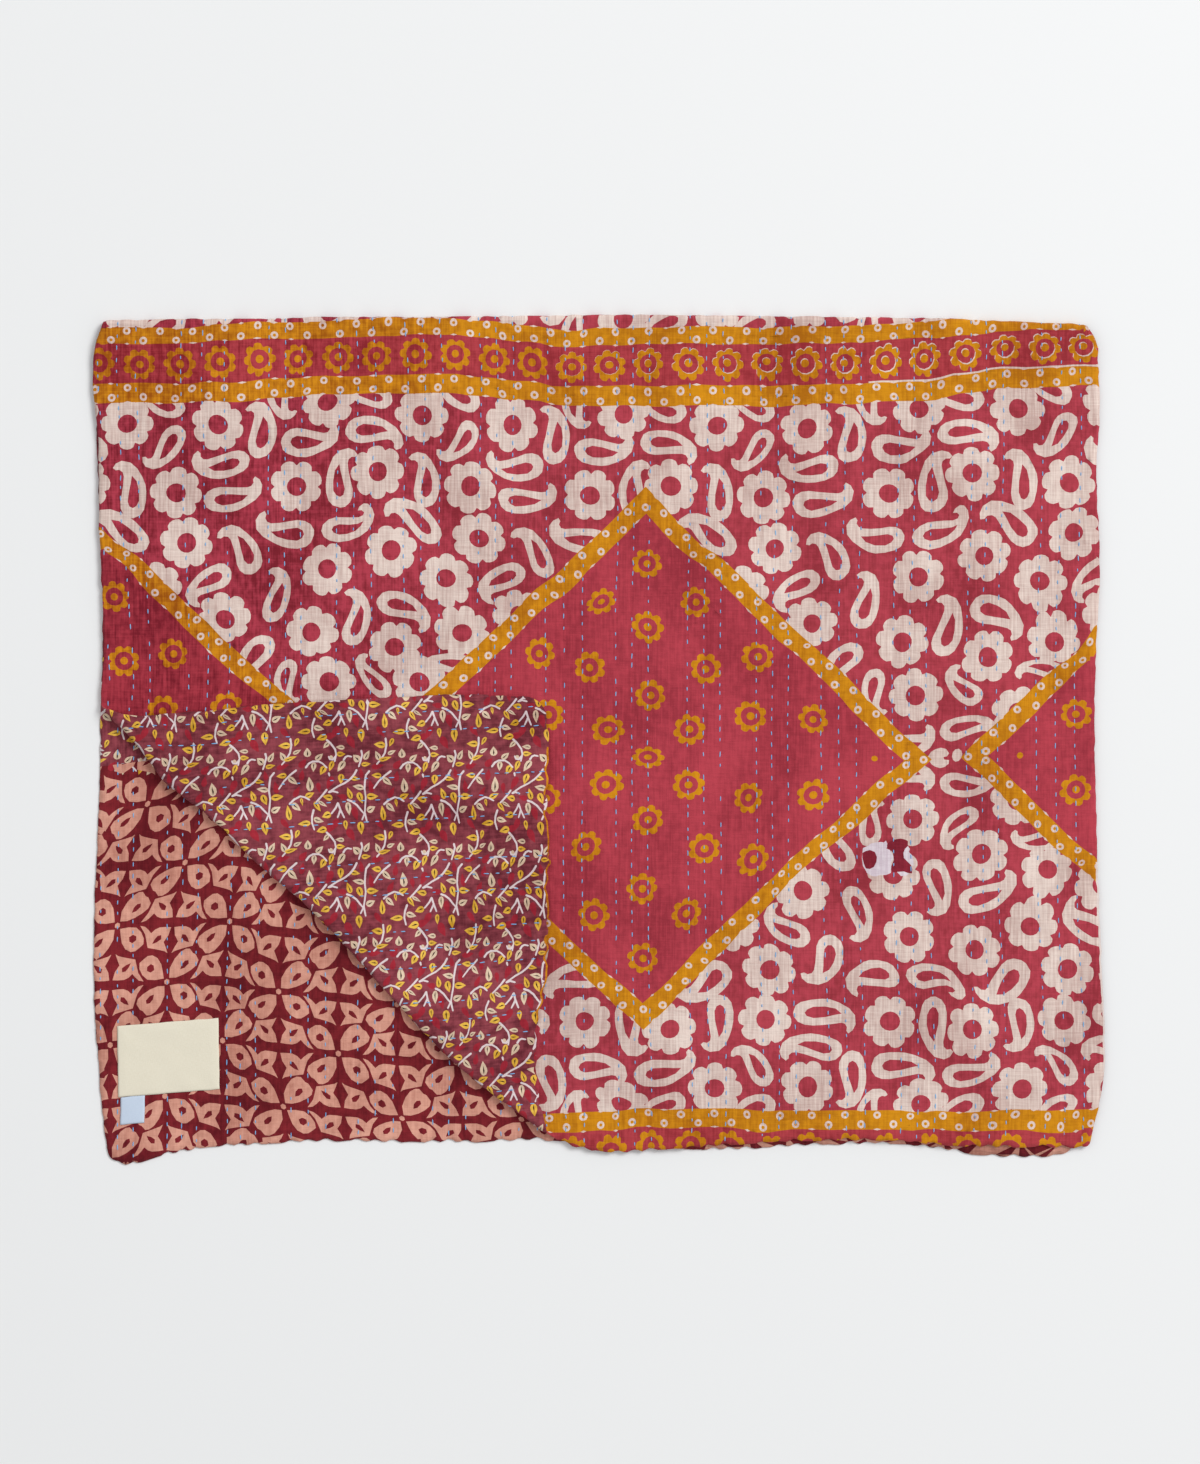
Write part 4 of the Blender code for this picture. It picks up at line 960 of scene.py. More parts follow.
def scalloped(x, y, radius, notch, lobes, per_lobe, spin, squash=1.0):
    """A ring of round lobes with a sharp notch between each two."""
    angles = 2 * pi * np.arange(lobes * per_lobe) / (lobes * per_lobe)
    reach = radius - notch * (1.0 - np.sqrt(np.abs(np.cos(lobes / 2 * angles))))
    angles = angles + spin
    return np.stack([x + reach * np.cos(angles), y + squash * reach * np.sin(angles)], axis=-1)


def bloom(x, y, spin):
    return [
        Print("cream", scalloped(x, y, BLOOM_RADIUS, BLOOM_NOTCH, LOBES, 6, spin)),
        Print("rose", circle(x, y, BLOOM_HOLE, 16, spin)),
    ]


def paisley(p):
    """A drop with a hooked tail, and the drop left open inside it."""
    shapes = ((PAISLEY, "cream"), (PAISLEY_HOLE, "rose"))
    tip = PAISLEY_TIP
    if abs(p.hook) > 1:
        shapes, tip = ((CURLED, "cream"), (CURLED_HOLE, "rose")), CURLED_TIP
    hook = 1 if p.hook > 0 else -1
    reach = np.array([p.tip_x - p.x, p.tip_y - p.y])
    scale = hypot(*reach) / hypot(*tip)
    heading = np.arctan2(reach[1], reach[0]) - hook * np.arctan2(tip[1], tip[0])
    prints = []
    for shape, ink in shapes:
        along, side = scale * np.array(shape, float).T
        x = p.x + along * np.cos(heading) - hook * side * np.sin(heading)
        y = p.y + along * np.sin(heading) + hook * side * np.cos(heading)
        prints.append(Print(ink, np.stack([x, y], axis=-1)))
    return prints


def rosette(x, y, spin, ground, squash=1.0, slip=0.0):
    """A ringed flower with a dot. Where the inks have slipped, bare cloth shows beside them."""
    lobes, gap, dot = ROSETTE_RADII
    rings = (
        ("yellow", scalloped(x, y, lobes, ROSETTE_NOTCH, LOBES, 4, spin, squash)),
        (ground, circle(x, y, gap, 12, spin, squash)),
        ("yellow", circle(x, y, dot, 12, spin, squash)),
    )
    prints = []
    for ink, ring in rings:
        if slip:
            way = slip if ink == ground else -slip
            prints.append(Print("cream", ring + np.array([0.5 * way, way])))
        prints.append(Print(ink, ring))
    return prints


def ringed_dot(at, spin=0.0):
    return [
        Print("cream", circle(*at, RING_RADIUS, 10, spin)),
        Print("yellow", circle(*at, DOT_RADIUS, 6, spin)),
    ]


def stripe_rings(start, end, width, lead, tail, seed):
    """Two staggered rows of small rings along a stripe, with bare slivers at its edges."""
    start, end = np.array(start, float), np.array(end, float)
    length = np.linalg.norm(end - start)
    along = (end - start) / length
    across = np.array([-along[1], along[0]])
    count = int(length / RING_PITCH * 2)
    prints = []
    for k in range(count):
        side = (-1) ** k
        middle = start + along * (lead + k * (length - lead - tail) / (count - 1))
        prints += ringed_dot(middle + across * RING_OFFSET * side, k)
        chance, size = (float(scattered(k, n, seed)) for n in range(2))
        if chance < SLIVER_CHANCE:
            at = middle - across * side * (width / 2 - 0.2)
            half, deep = along * (2.4 + 2.2 * size), across * SLIVER_DEEP
            prints.append(Print("cream", np.array([at - half, at + deep, at + half, at - deep])))
    return prints


def quad(x0, y0, x1, y1, step=12.0):
    """A rectangle with points along its long sides."""
    x = np.arange(x0, x1 + step, step)
    lower = np.stack([x, np.full(len(x), y0)], axis=-1)
    return np.concatenate([lower, np.stack([x, np.full(len(x), y1)], axis=-1)[::-1]])


def along_ring(corners, step=12.0):
    """A ring through corners, with points along its straight sides."""
    points = []
    for a, b in zip(corners, corners[1:] + corners[:1]):
        a, b = np.array(a, float), np.array(b, float)
        count = max(1, int(np.linalg.norm(b - a) / step))
        points += [a + (b - a) * k / count for k in range(count)]
    return np.array(points)


def diamond_corners(middle, grow):
    """A diamond's left, upper, right and lower corner."""
    y, wide, high = MIRROR + 1, DIAMOND_X + grow, DIAMOND_Y + grow
    return [(middle - wide, y), (middle, y - high), (middle + wide, y), (middle, y + high)]


def diamond(middle):
    """A diamond of plain cloth in a stripe, with rosettes."""
    y = MIRROR + 1
    prints = []
    for grow, ink in ((STRIPE / 2 * STRIPE_SLANT, "yellow"), (-STRIPE / 2 * STRIPE_SLANT, "faded")):
        prints.append(Print(ink, along_ring(diamond_corners(middle, grow))))
    ends = diamond_corners(middle, 0)
    for k in range(4):
        lead, tail = (ARM_TAIL, ARM_LEAD) if k % 2 else (ARM_LEAD, ARM_TAIL)
        arm = stripe_rings(ends[k], ends[(k + 1) % 4], STRIPE, lead, tail, 31 + k)
        # The ring at the top, and the one at the bottom, belong to the arm that ends there
        prints += arm[2:] if k % 2 else arm
    for side in (-1, 1):
        prints += ringed_dot((middle + side * (DIAMOND_X + CORNER_RING), y))
    for r in ROSETTES:
        squash = MIDDLE_SQUASH if (r.x, r.y) == (0, 0) else 1.0
        for sx in (1, -1) if r.x else (1,):
            for sy in (1, -1) if r.y else (1,):
                spin = 0.39 * (r.x + r.y) * sx
                prints += rosette(middle + sx * r.x, y + sy * r.y, spin, "faded", squash)
    return prints


def mirrored(field, axis):
    """The floral field's motifs, mirrored along the cloth."""
    blooms, bent = field
    blooms = [Bloom(b.x, 2 * axis - b.y) for b in blooms]
    bent = [p._replace(y=2 * axis - p.y, tip_y=2 * axis - p.tip_y, hook=-p.hook) for p in bent]
    return blooms, bent


def floral_field():
    """Flowers and paisleys, repeated across the cloth and mirrored along it."""
    field = (BLOOMS, PAISLEYS)
    near_band = tuple([m for m in motifs if m.y < NEAR_BAND] for motifs in field)
    prints = []
    for blooms, bent in (field, mirrored(field, MIRROR), mirrored(near_band, BAND_MIRROR)):
        for copy in range(-1, 4):
            shift = copy * REPEAT
            for k, b in enumerate(blooms):
                if CHART_LEFT < b.x + shift < CHART_RIGHT:
                    prints += bloom(b.x + shift, b.y, 0.3 * k)
            for p in bent:
                if CHART_LEFT < p.x + shift < CHART_RIGHT:
                    prints += paisley(p._replace(x=p.x + shift, tip_x=p.tip_x + shift))
    return prints


def border(mirror):
    """A border: plain cloth between two stripes, with a row of rosettes."""
    lines = [y for y, _ in BORDER_STRIPES] + [BORDER_ROSETTES]
    if mirror:
        lines = [2 * MIRROR - y for y in lines]
    ends, lead = (CHART_LEFT + 10, CHART_RIGHT - 10), RING_PITCH / 4
    prints = [Print("border", quad(CHART_LEFT, min(lines[:2]), CHART_RIGHT, max(lines[:2])))]
    for y, (_, width) in zip(lines, BORDER_STRIPES):
        stripe = quad(CHART_LEFT, y - width / 2, CHART_RIGHT, y + width / 2)
        prints.append(Print("yellow", stripe))
        prints += stripe_rings((ends[0], y), (ends[1], y), width, lead, lead, int(y))
    for k in range(ROSETTE_COUNT):
        slip = 0.0 if mirror else float(np.clip(SLIP_STEP * (k - SLIP_FROM), 0.0, SLIP_MOST))
        x = FIRST_ROSETTE + k * ROSETTE_PITCH
        prints += rosette(x, lines[2], 0.4 * k, "border", 1.0, slip)
    return prints


def front_chart():
    """The front's print: a floral field, borders and diamonds."""
    prints = floral_field() + border(False) + border(True)
    for b in ODD_BLOOMS:
        prints += bloom(b.x, b.y, 0.2)
    prints.append(Print("cream", quad(*BARE_LINE)))
    prints.append(Print("cream", np.array(BETWEEN_DIAMONDS)))
    prints.append(Print("cream", circle(*BESIDE_HEART, BESIDE_RADIUS, 10)))
    for middle in DIAMONDS:
        prints += diamond(middle)
    for x in LONE_DOTS:
        prints.append(Print("yellow", circle(x, MIRROR + 0.5, LONE_RADIUS, 8)))
    return [Print(p.ink, front_drift(p.ring)) for p in prints] + worn_chart()


def pulled(points, drifts):
    """Points of a print as the cloth has been pulled, from the drifts near each of them."""
    drifts = np.array(drifts, float)
    away = ((points[:, None, :] - drifts[None, :, :2]) ** 2).sum(axis=2)
    weight = 1.0 / (away + PULL_CORE**2) ** 2
    return points + weight @ drifts[:, 2:] / weight.sum(axis=1, keepdims=True)


def front_drift(points):
    """The front's print as the cloth has been pulled, and a little uneven in itself."""
    bands = [
        (b.x, y, b.dx * (y == BORDER_ROSETTES), dy)
        for b in BAND_DRIFTS
        for y, dy in zip(BAND_LINES, b[2:])
    ]
    moved = pulled(points, DRIFTS + bands)
    x, y = points[:, 0] / PRINT_WAVE, points[:, 1] / PRINT_WAVE
    for axis in (0, 1):
        moved[:, axis] += PRINT_WANDER * uneven(x, y, 51 + axis)
    return moved


def worn_chart():
    return [Print(ink, np.array(ring, float)) for ink, ring in WORN]


def leaf(p, ink):
    """A pointed leaf, and the dark vein in its blunt end."""
    heading = radians(-p.heading)
    along = np.array([cos(heading), sin(heading)])
    side = np.array([-along[1], along[0]])
    shapes = [(ink, LEAF_SHAPE)]
    if ink != "crimson" and p.length > 6:
        shapes.append(("vein", VEIN_SHAPE))
    at, half = np.array([p.x, p.y]), p.length / 2
    return [
        Print(part, np.array([at + a * half * along + b * p.width / 2 * side for a, b in shape]))
        for part, shape in shapes
    ]


def stem(points):
    """A thin line through points, a little thicker at one end."""
    points = np.array(points, float)
    ahead = np.gradient(points, axis=0)
    ahead = ahead / np.linalg.norm(ahead, axis=1, keepdims=True)
    side = np.stack([-ahead[:, 1], ahead[:, 0]], axis=-1)
    half = STEM * np.linspace(*STEM_TAPER, len(points))[:, None]
    first, last = points[:1] - ahead[:1] * STEM, points[-1:] + ahead[-1:] * STEM
    back = (points - side * half)[::-1]
    return Print("stem", np.concatenate([first, points + side * half, last, back]))


def vine_tile():
    kinds = ((CRIMSON_LEAVES, "crimson"), (MUSTARD_LEAVES, "mustard"), (IVORY_LEAVES, "ivory"))
    prints = [part for leaves, ink in kinds for p in leaves for part in leaf(p, ink)]
    return prints + [stem(points) for points in STEMS]


def vine_chart(low, high):
    """The vine print over the squares from low to high."""
    tile = vine_tile()
    columns, rows = (
        range(int((low[k] - VINE_AT[k]) / pitch) - 1, int((high[k] - VINE_AT[k]) / pitch) + 1)
        for k, pitch in enumerate((VINE_X, VINE_Y))
    )
    prints = []
    for j in rows:
        for i in columns:
            shift = np.array([i * VINE_X + VINE_LEAN * j, j * VINE_Y])
            prints += [Print(p.ink, pulled(p.ring + shift, VINE_DRIFTS)) for p in tile]
    return prints


def leaf_chart(low, high):
    """The leaf print over the squares from low to high."""
    drops = [("salmon", LONG_DROP), ("maroon", LONG_HOLE)]
    drops += [("salmon", SHORT_DROP), ("maroon", SHORT_HOLE)]
    before, after, beyond = LEAF_MARGINS
    prints = []
    for j in LEAF_ROWS:
        for i in LEAF_COLUMNS:
            dot = np.array([(i + 0.5 * (j % 2)) * LEAF_STEP_X, j * LEAF_STEP_Y]) + LEAF_AT
            beside = low[0] - before < dot[0] < high[0] + after
            if not (beside and low[1] - beyond < dot[1] < high[1] + beyond):
                continue
            middle = dot + (LEAF_STEP_X / 2, 0.0)
            prints.append(Print("salmon", circle(*dot, LEAF_DOT, 6, DOT_SPIN, DOT_SQUASH)))
            for turn in (1, -1):
                prints += [Print(ink, dot + turn * np.array(ring, float)) for ink, ring in drops]
                for flip in (1, -1):
                    for ink, ring in (("salmon", CUP), ("maroon", CUP_HOLE)):
                        prints.append(Print(ink, middle + np.array(ring, float) * (turn, flip)))
    return [Print(p.ink, leaf_drift(p.ring)) for p in prints]


def leaf_drift(ring):
    """The leaf print where the cloth has been pulled out of true."""
    x, y = ring[:, 0], ring[:, 1]
    past_label = ease((x - 215) / 50)
    above, below = ease((1030 - y) / 60), ease((y - 1045) / 90)
    near_label = ease((y - 1062) / 36) * np.exp(-(((x - 166) / 40) ** 2))
    near_seam, low = ease((850 - y) / 60), ease((x - 300) / 260) * ease((y - 1085) / 45)
    dx = smooth([(d.x, d.dx) for d in LEAF_DRIFTS], x)
    dx = dx + (2.3 - 0.6 * past_label) * (np.minimum(y - LEAF_AT[1], 0) / LEAF_STEP_Y) ** 2
    dx = dx - 2.0 * above + 7.0 * past_label * below - 1.5 * near_label + 3.0 * near_seam
    dx = dx + 6.0 * low
    dy = smooth([(d.x, d.dy) for d in LEAF_DRIFTS], x) * (1.0 - 0.35 * ease((y - 1080) / 60))
    dy = dy + 4.0 * past_label * above - 5.0 * near_label - 2.5 * near_seam
    return np.stack([x + dx, y + dy], axis=-1)


def untuck_bowed(points):
    """Places on the turned corner as it lies, bow and all, as points of the flat cloth."""
    along, out = turn_frame(points[..., 0], points[..., 1])
    across = out
    for _ in range(6):
        across = out - bow(along, across)
    return np.stack(turn_point(along, 2 * TURN_APEX - across), axis=-1)


def hem_strip(ink, along, edge, inward, upright, seed):
    """A strip of ink along a hem, from outside the cloth to a wavy line a little way in."""
    wave_in = HEM_STRIP + HEM_STRIP_WAVE * uneven(along / HEM_STRIP_LENGTH, 0.5, seed)
    sides = []
    for across in (edge + inward * OUTSIDE, edge + inward * wave_in):
        sides.append(np.stack((across, along) if upright else (along, across), axis=-1))
    return Print(ink, np.concatenate([sides[0], sides[1][::-1]]))


def front_prints():
    """The front's print, and the hem's bare threads."""
    v = np.arange(*FRAYED, STRIP_STEP)
    frayed = hem_strip("hem_pale", v, right(v), -1.0, True, 61)
    return [Print(p.ink, placed(p.ring)) for p in front_chart()] + [frayed]


def back_prints():
    """The vine print on the turned corner and above the seam, the leaf print below it."""
    prints = []
    for p in vine_chart(*FLAP_WINDOW):
        ring = untuck_bowed(placed(p.ring))
        along, out = turn_frame(ring[:, 0], ring[:, 1])
        if out.max() > -PAST_TURN:
            prints.append(Print(p.ink, ring))
    for p in vine_chart(*ABOVE_SEAM):
        ring = placed(p.ring)
        if (ring[:, 1] > seam_y(ring[:, 0]) - PAST_SEAM).any():
            prints.append(Print(p.ink, unfold(ring)))
    for p in leaf_chart(*BELOW_SEAM):
        ring = placed(p.ring)
        x, y = ring[:, 0], ring[:, 1]
        shown = shows_back(x, 2 * apex(x) - y, SHOWN_MARGIN) | (y < HEM_FROM)
        if shown.any() and (y < seam_y(x) + PAST_SEAM).any():
            cut = np.minimum(y, seam_y(x))
            prints.append(Print(p.ink, unfold(np.stack([x, cut], axis=-1))))
    for start, end in ROLLED:
        u = np.arange(start, end, STRIP_STEP)
        prints.append(hem_strip("yellow", u, bottom(u), 1.0, False, 63))
    return prints


# ---------------------------------------------------------------- The quilt's mesh


def base_points(shown):
    """A lattice of points, fine where the cloth shows and wide where it doesn't."""
    columns = []
    for low, high in zip(ROW_EDGES, ROW_EDGES[1:]):
        count = max(4, round((high - low) / FINE))
        columns += [low + (high - low) * k / count for k in range(count)]
    offsets = np.arange(-REACH_V, REACH_V, FINE)
    offsets = offsets[np.abs(offsets) > FOLD_RADIUS * pi / 2 + FINE / 2]
    bend = FOLD_RADIUS * np.linspace(-pi / 2, pi / 2, BEND_STEPS + 1)
    u, past = np.meshgrid(columns, np.concatenate([offsets, bend]))
    u, past = u.ravel(), past.ravel()
    v = past + apex(u)
    u = row_place(u, v)
    points = np.stack([u, v], axis=-1)
    fine = points[shown(u, v)]

    spread = np.arange(-REACH_V, REACH_V, COARSE)
    u, past = np.meshgrid(np.arange(-REACH_U, REACH_U, COARSE), spread)
    u, past = u.ravel(), past.ravel()
    v = past + apex(u)
    wide = np.stack([u, v], axis=-1)[~shown(u, v, COARSE * 0.6)]
    return np.concatenate([fine, wide])


def bend_points(step_fold, step_turn):
    """Points along both bends, closer together around them than along them."""
    around = np.linspace(-pi / 2, pi / 2, 9)
    u = np.arange(-BEND_END, BEND_END, step_fold)
    rows = [np.stack([u, apex(u) + w], axis=-1) for w in FOLD_RADIUS * around]
    along = np.arange(*TURN_ENDS, step_turn)
    for w in TURN_APEX + TURN_RADIUS * around:
        rows.append(np.stack(turn_point(along, np.full(len(along), w)), axis=-1))
    return np.concatenate(rows)


def thinned(points, others, gap):
    """Those points that lie clear of the others."""
    return points[to_nearest(tree_of(others), points) > gap]


def face_drawing(prints, shown, bends):
    """Flat points and triangles of one face of the cloth, cut along its prints."""
    points = [RIM]
    lines = [(k, (k + 1) % len(RIM)) for k in range(len(RIM))]
    count = len(RIM)
    ring_points = np.concatenate([p.ring for p in prints])
    clear = inside(ring_points, RIM) & (from_rim(ring_points) > CLEAR_OF_INK)
    clear &= shown(ring_points[:, 0], ring_points[:, 1], PRINT_MARGIN)
    at = 0
    for p in prints:
        size = len(p.ring)
        kept = clear[at : at + size]
        at += size
        index = count + np.cumsum(kept) - 1
        points.append(p.ring[kept])
        for k in range(size):
            if kept[k] and kept[(k + 1) % size]:
                lines.append((int(index[k]), int(index[(k + 1) % size])))
        count += int(kept.sum())
    drawn = np.concatenate(points)
    base = np.concatenate([base_points(shown), bends])
    base = base[inside(base, RIM)]
    base = base[from_rim(base) > CLEAR_OF_RIM]
    base = thinned(base, drawn[len(RIM) :], CLEAR_OF_INK)
    everything = [Vector(p) for p in np.concatenate([drawn, base]).tolist()]
    made = delaunay_2d_cdt(everything, lines, [], 0, 1e-7)
    places = np.array([tuple(p) for p in made[0]])
    triangles = np.array(made[2])
    new = {old: k for k, olds in enumerate(made[3]) for old in olds}
    at_rim = np.array([new[k] for k in range(len(RIM))])
    middles = places[triangles].mean(axis=1)
    triangles = triangles[inside(middles, RIM)]
    return places, triangles, at_rim


def inked(middles, prints, ground):
    """The ink of each face: the last print that it lies in, or else the ground's."""
    ink = ground.copy()
    order = np.argsort(middles[:, 0])
    xs = middles[order, 0]
    for p in prints:
        low, high = p.ring.min(axis=0), p.ring.max(axis=0)
        near = order[np.searchsorted(xs, low[0]) : np.searchsorted(xs, high[0])]
        near = near[(middles[near, 1] > low[1]) & (middles[near, 1] < high[1])]
        if len(near):
            ink[near[inside(middles[near], p.ring)]] = INKS.index(p.ink)
    return ink


def back_ground(middles):
    """Plum cloth, with maroon cloth below the seam on the lower layer."""
    u, v = middles[:, 0], middles[:, 1]
    y = 2 * apex(u) - v
    below = (v > apex(u)) & (y < seam_y(u))
    return np.where(below, INKS.index("maroon"), INKS.index("plum"))


def rim_inks():
    """The ink of each piece of the cloth's edge."""
    u, v = RIM[:, 0], RIM[:, 1]
    inks = np.full(len(RIM), INKS.index("hem_front"))
    inks[(u > 0.4) & (v > FRAYED[0]) & (v < FRAYED[1])] = INKS.index("hem_pale")
    for start, end in ROLLED:
        inks[(v < 0.0) & (u > start) & (u < end)] = INKS.index("yellow")
    return inks


def uv_layers(mesh, flat, sides):
    """The flat cloth's own map in metres, and one with its two faces side by side."""
    loops = np.empty(len(mesh.loops), np.int32)
    mesh.loops.foreach_get("vertex_index", loops)
    side = np.repeat(sides, 3)
    cloth = mesh.uv_layers.new(name="cloth")
    cloth.uv.foreach_set("vector", flat[loops].astype(np.float32).ravel())
    both = mesh.uv_layers.new(name="OFBake")
    x = (flat[loops, 0] + MAP_LEFT) / MAP_SPAN + np.where(side > 0, 0.0, 0.5)
    y = (flat[loops, 1] + MAP_BELOW) / MAP_SPAN
    both.uv.foreach_set("vector", np.stack([x, y], axis=-1).astype(np.float32).ravel())


def quilt():
    """The folded quilt as one closed mesh, a material for each ink."""
    fronts, backs = front_prints(), back_prints()
    front = face_drawing(fronts, shows_front, bend_points(BEND_WIDE, BEND_WIDE))
    back = face_drawing(backs, shows_back, bend_points(BEND_WIDE, BEND_FINE))
    flat, faces, inks, sides, solid, rims = [], [], [], [], [], []
    count = 0
    for (places, triangles, at_rim), prints, side in ((front, fronts, 1), (back, backs, -1)):
        middles = places[triangles].mean(axis=1)
        ground = np.full(len(middles), INKS.index("rose")) if side > 0 else back_ground(middles)
        inks.append(inked(middles, prints, ground))
        solid.append(on_cloth(places[:, 0], places[:, 1], side))
        flat.append(places)
        faces.append((triangles if side > 0 else triangles[:, ::-1]) + count)
        sides.append(np.full(len(triangles), side))
        rims.append(at_rim + count)
        count += len(places)
    a, b = rims
    before_a, before_b = np.roll(a, 1), np.roll(b, 1)
    wall = np.concatenate([np.stack([before_a, before_b, a], -1), np.stack([before_b, b, a], -1)])
    faces.append(wall)
    sides.append(np.full(len(wall), 1))
    inks.append(np.tile(rim_inks(), 2))
    faces, inks = np.concatenate(faces), np.concatenate(inks)
    mesh = bpy.data.meshes.new("quilt_cloth")
    mesh.from_pydata(np.concatenate(solid).tolist(), [], faces.tolist())
    uv_layers(mesh, np.concatenate(flat), np.concatenate(sides))
    for ink in INKS:
        mesh.materials.append(ink_material(ink))
    mesh.polygons.foreach_set("material_index", inks.astype(np.int32))
    mesh.shade_smooth()
    return add("quilt_cloth", mesh)


def add(name, data):
    """Adds an object to the scene. A mesh's points have their places already."""
    made = bpy.data.objects.new(name, data)
    bpy.context.scene.collection.objects.link(made)
    return made


# ---------------------------------------------------------------- Stitches


def stitch_rows():
    """Flat middle and side of each stitch that shows."""
    low, high = RIM[:, 1].min(), RIM[:, 1].max()
    u, v, side = [], [], []
    for k, row_u in enumerate(ROW_U):
        n = np.arange(int(low / STITCH_PITCH) - 1, int(high / STITCH_PITCH) + 1)
        jitter = JITTER * (scattered(k, n, 5) - 0.5)
        sway = SWAY * uneven(n / 5.0, k + 0.5, 6)
        for face, shift in ((1, 0.0), (-1, 0.5)):
            at = ROW_START[k + 1] + (n + shift) * STITCH_PITCH + jitter
            u.append(row_place(row_u, at) + sway)
            v.append(at)
            side.append(np.full(len(n), face))
    u, v, side = np.concatenate(u), np.concatenate(v), np.concatenate(side)
    points = np.stack([u, v], axis=-1)
    keep = inside(points, RIM) & (from_rim(points) > FROM_HEM)
    front, back = shows_front(u, v, -FROM_COVER), shows_back(u, v, -FROM_COVER)
    under_label = pressed(u, v) > 0.75
    chance = scattered(np.round(u / 0.012), np.round(v / STITCH_PITCH), 9)
    back_sunk = np.where(v < apex(u), SUNK["turned"], SUNK["lower"])
    sunk = chance < np.where(side > 0, SUNK["front"], back_sunk)
    keep &= np.where(side > 0, front, back & ~under_label) & ~sunk
    return u[keep], v[keep], side[keep]


ALONG = np.linspace(-1, 1, 6)  # a stitch's points, from end to end
AROUND = np.linspace(-0.25, pi + 0.25, 5)  # and over it from side to side


def stitches():
    """Every running stitch, as short lengths of thread lying in the cloth's grooves."""
    u, v, side = stitch_rows()
    count = len(u)
    turn = STITCH_TURN * (scattered(np.arange(count), 3, 8) - 0.5)
    size = STITCH / 2 * (STITCH_LEAST + STITCH_MORE * scattered(np.arange(count), 4, 8))
    along = ALONG[None, :, None] * size[:, None, None]
    round_end = np.sqrt(1.0 - 0.75 * ALONG**4)[None, :, None]
    across = THREAD * np.cos(AROUND)[None, None, :] * round_end
    du = across + np.sin(turn)[:, None, None] * along
    rise = THREAD * 0.9 * np.sin(AROUND)[None, None, :] * round_end
    arch = ARCH * (1.0 - ALONG**2)[None, :, None] - ARCH_SUNK
    shape = (count, len(ALONG), len(AROUND))
    flat_u = np.broadcast_to(u[:, None, None] + du, shape).ravel()
    flat_v = np.broadcast_to(v[:, None, None] + along, shape).ravel()
    lift = np.broadcast_to(rise + arch, shape).ravel()
    points = np.empty((len(flat_u), 3))
    which = np.broadcast_to(side[:, None, None], shape).ravel()
    for face in (1, -1):
        chosen = which == face
        points[chosen] = on_cloth(flat_u[chosen], flat_v[chosen], face, lift[chosen])
    return threads(points.reshape(shape + (3,)), side)


def threads(points, side):
    """The stitches' mesh: short tubes, open below, from points along and around each."""
    count, long, wide, _ = points.shape
    index = np.arange(count * long * wide).reshape(count, long, wide)
    a, b = index[:, :-1, :-1], index[:, 1:, :-1]
    c, d = index[:, 1:, 1:], index[:, :-1, 1:]
    quads = np.stack([a, b, c, d], axis=-1)
    quads[side < 0] = quads[side < 0][..., ::-1]
    quads = quads.reshape(-1, 4)
    mesh = bpy.data.meshes.new("stitches")
    mesh.from_pydata(points.reshape(-1, 3).tolist(), [], quads.tolist())
    mesh.materials.append(thread_material())
    mesh.shade_smooth()
    return add("stitches", mesh)


# ---------------------------------------------------------------- Labels


def label_cloth(label):
    """A label: a plate of cloth with rounded edges, a little uneven."""
    nx, ny = (max(8, int(length / LABEL_FINE)) for length in (label.width, label.height))
    verts, faces, uvs = [], [], []
    spin = Matrix.Rotation(label.turn, 3, "Z")
    for layer in (1, -1):
        for j in range(ny + 1):
            for i in range(nx + 1):
                x = label.width * (i / nx - 0.5)
                y = label.height * (j / ny - 0.5)
                edge = min(i, nx - i, j, ny - j)
                at_side, at_end = label.width / 2 - 0.001, label.height / 2 - 0.001
                x += LABEL_WAVE * float(uneven(y / 0.009, 3.0, 41)) * (abs(x) > at_side)
                y += LABEL_WAVE * float(uneven(x / 0.009, 7.0, 42)) * (abs(y) > at_end)
                wavy = LABEL_SWELL * (1 + float(uneven(x / 0.016, y / 0.013, 43)))
                wavy = wavy * min(1.0, edge / 4)
                half = LABEL_THICKNESS / 2
                z = wavy + (half * layer * (0.55 if edge == 0 else 1.0)) + half
                place = spin @ Vector((x + LABEL_LEAN[label.name] * y, y, z))
                verts.append(tuple(place + Vector((label.x, label.y, LABEL_Z))))
                uvs.append((x, y))
    row = nx + 1
    under = row * (ny + 1)
    for j in range(ny):
        for i in range(nx):
            k = j * row + i
            faces.append((k, k + 1, k + row + 1, k + row))
            faces.append((under + k, under + k + row, under + k + row + 1, under + k + 1))
    edge = list(range(nx)) + [nx + j * row for j in range(ny)]
    edge += [ny * row + nx - i for i in range(nx)] + [(ny - j) * row for j in range(ny)]
    for k, at in enumerate(edge):
        before = edge[k - 1]
        faces.append((before, under + before, under + at, at))
    mesh = bpy.data.meshes.new(label.name + "_cloth")
    mesh.from_pydata(verts, [], faces)
    cloth = mesh.uv_layers.new(name="cloth")
    for loop in mesh.loops:
        cloth.uv[loop.index].vector = uvs[loop.vertex_index]
    mesh.materials.append(label_material(label.name))
    mesh.shade_smooth()
    return add(label.name + "_cloth", mesh)


# ---------------------------------------------------------------- Materials


def colour(red, green, blue):
    """A colour given as it looks, from 0 to 255, in the linear values that shaders take."""
    parts = [c / 255 for c in (red, green, blue)]
    linear = [c / 12.92 if c < 0.04045 else ((c + 0.055) / 1.055) ** 2.4 for c in parts]
    return (*linear, 1.0)


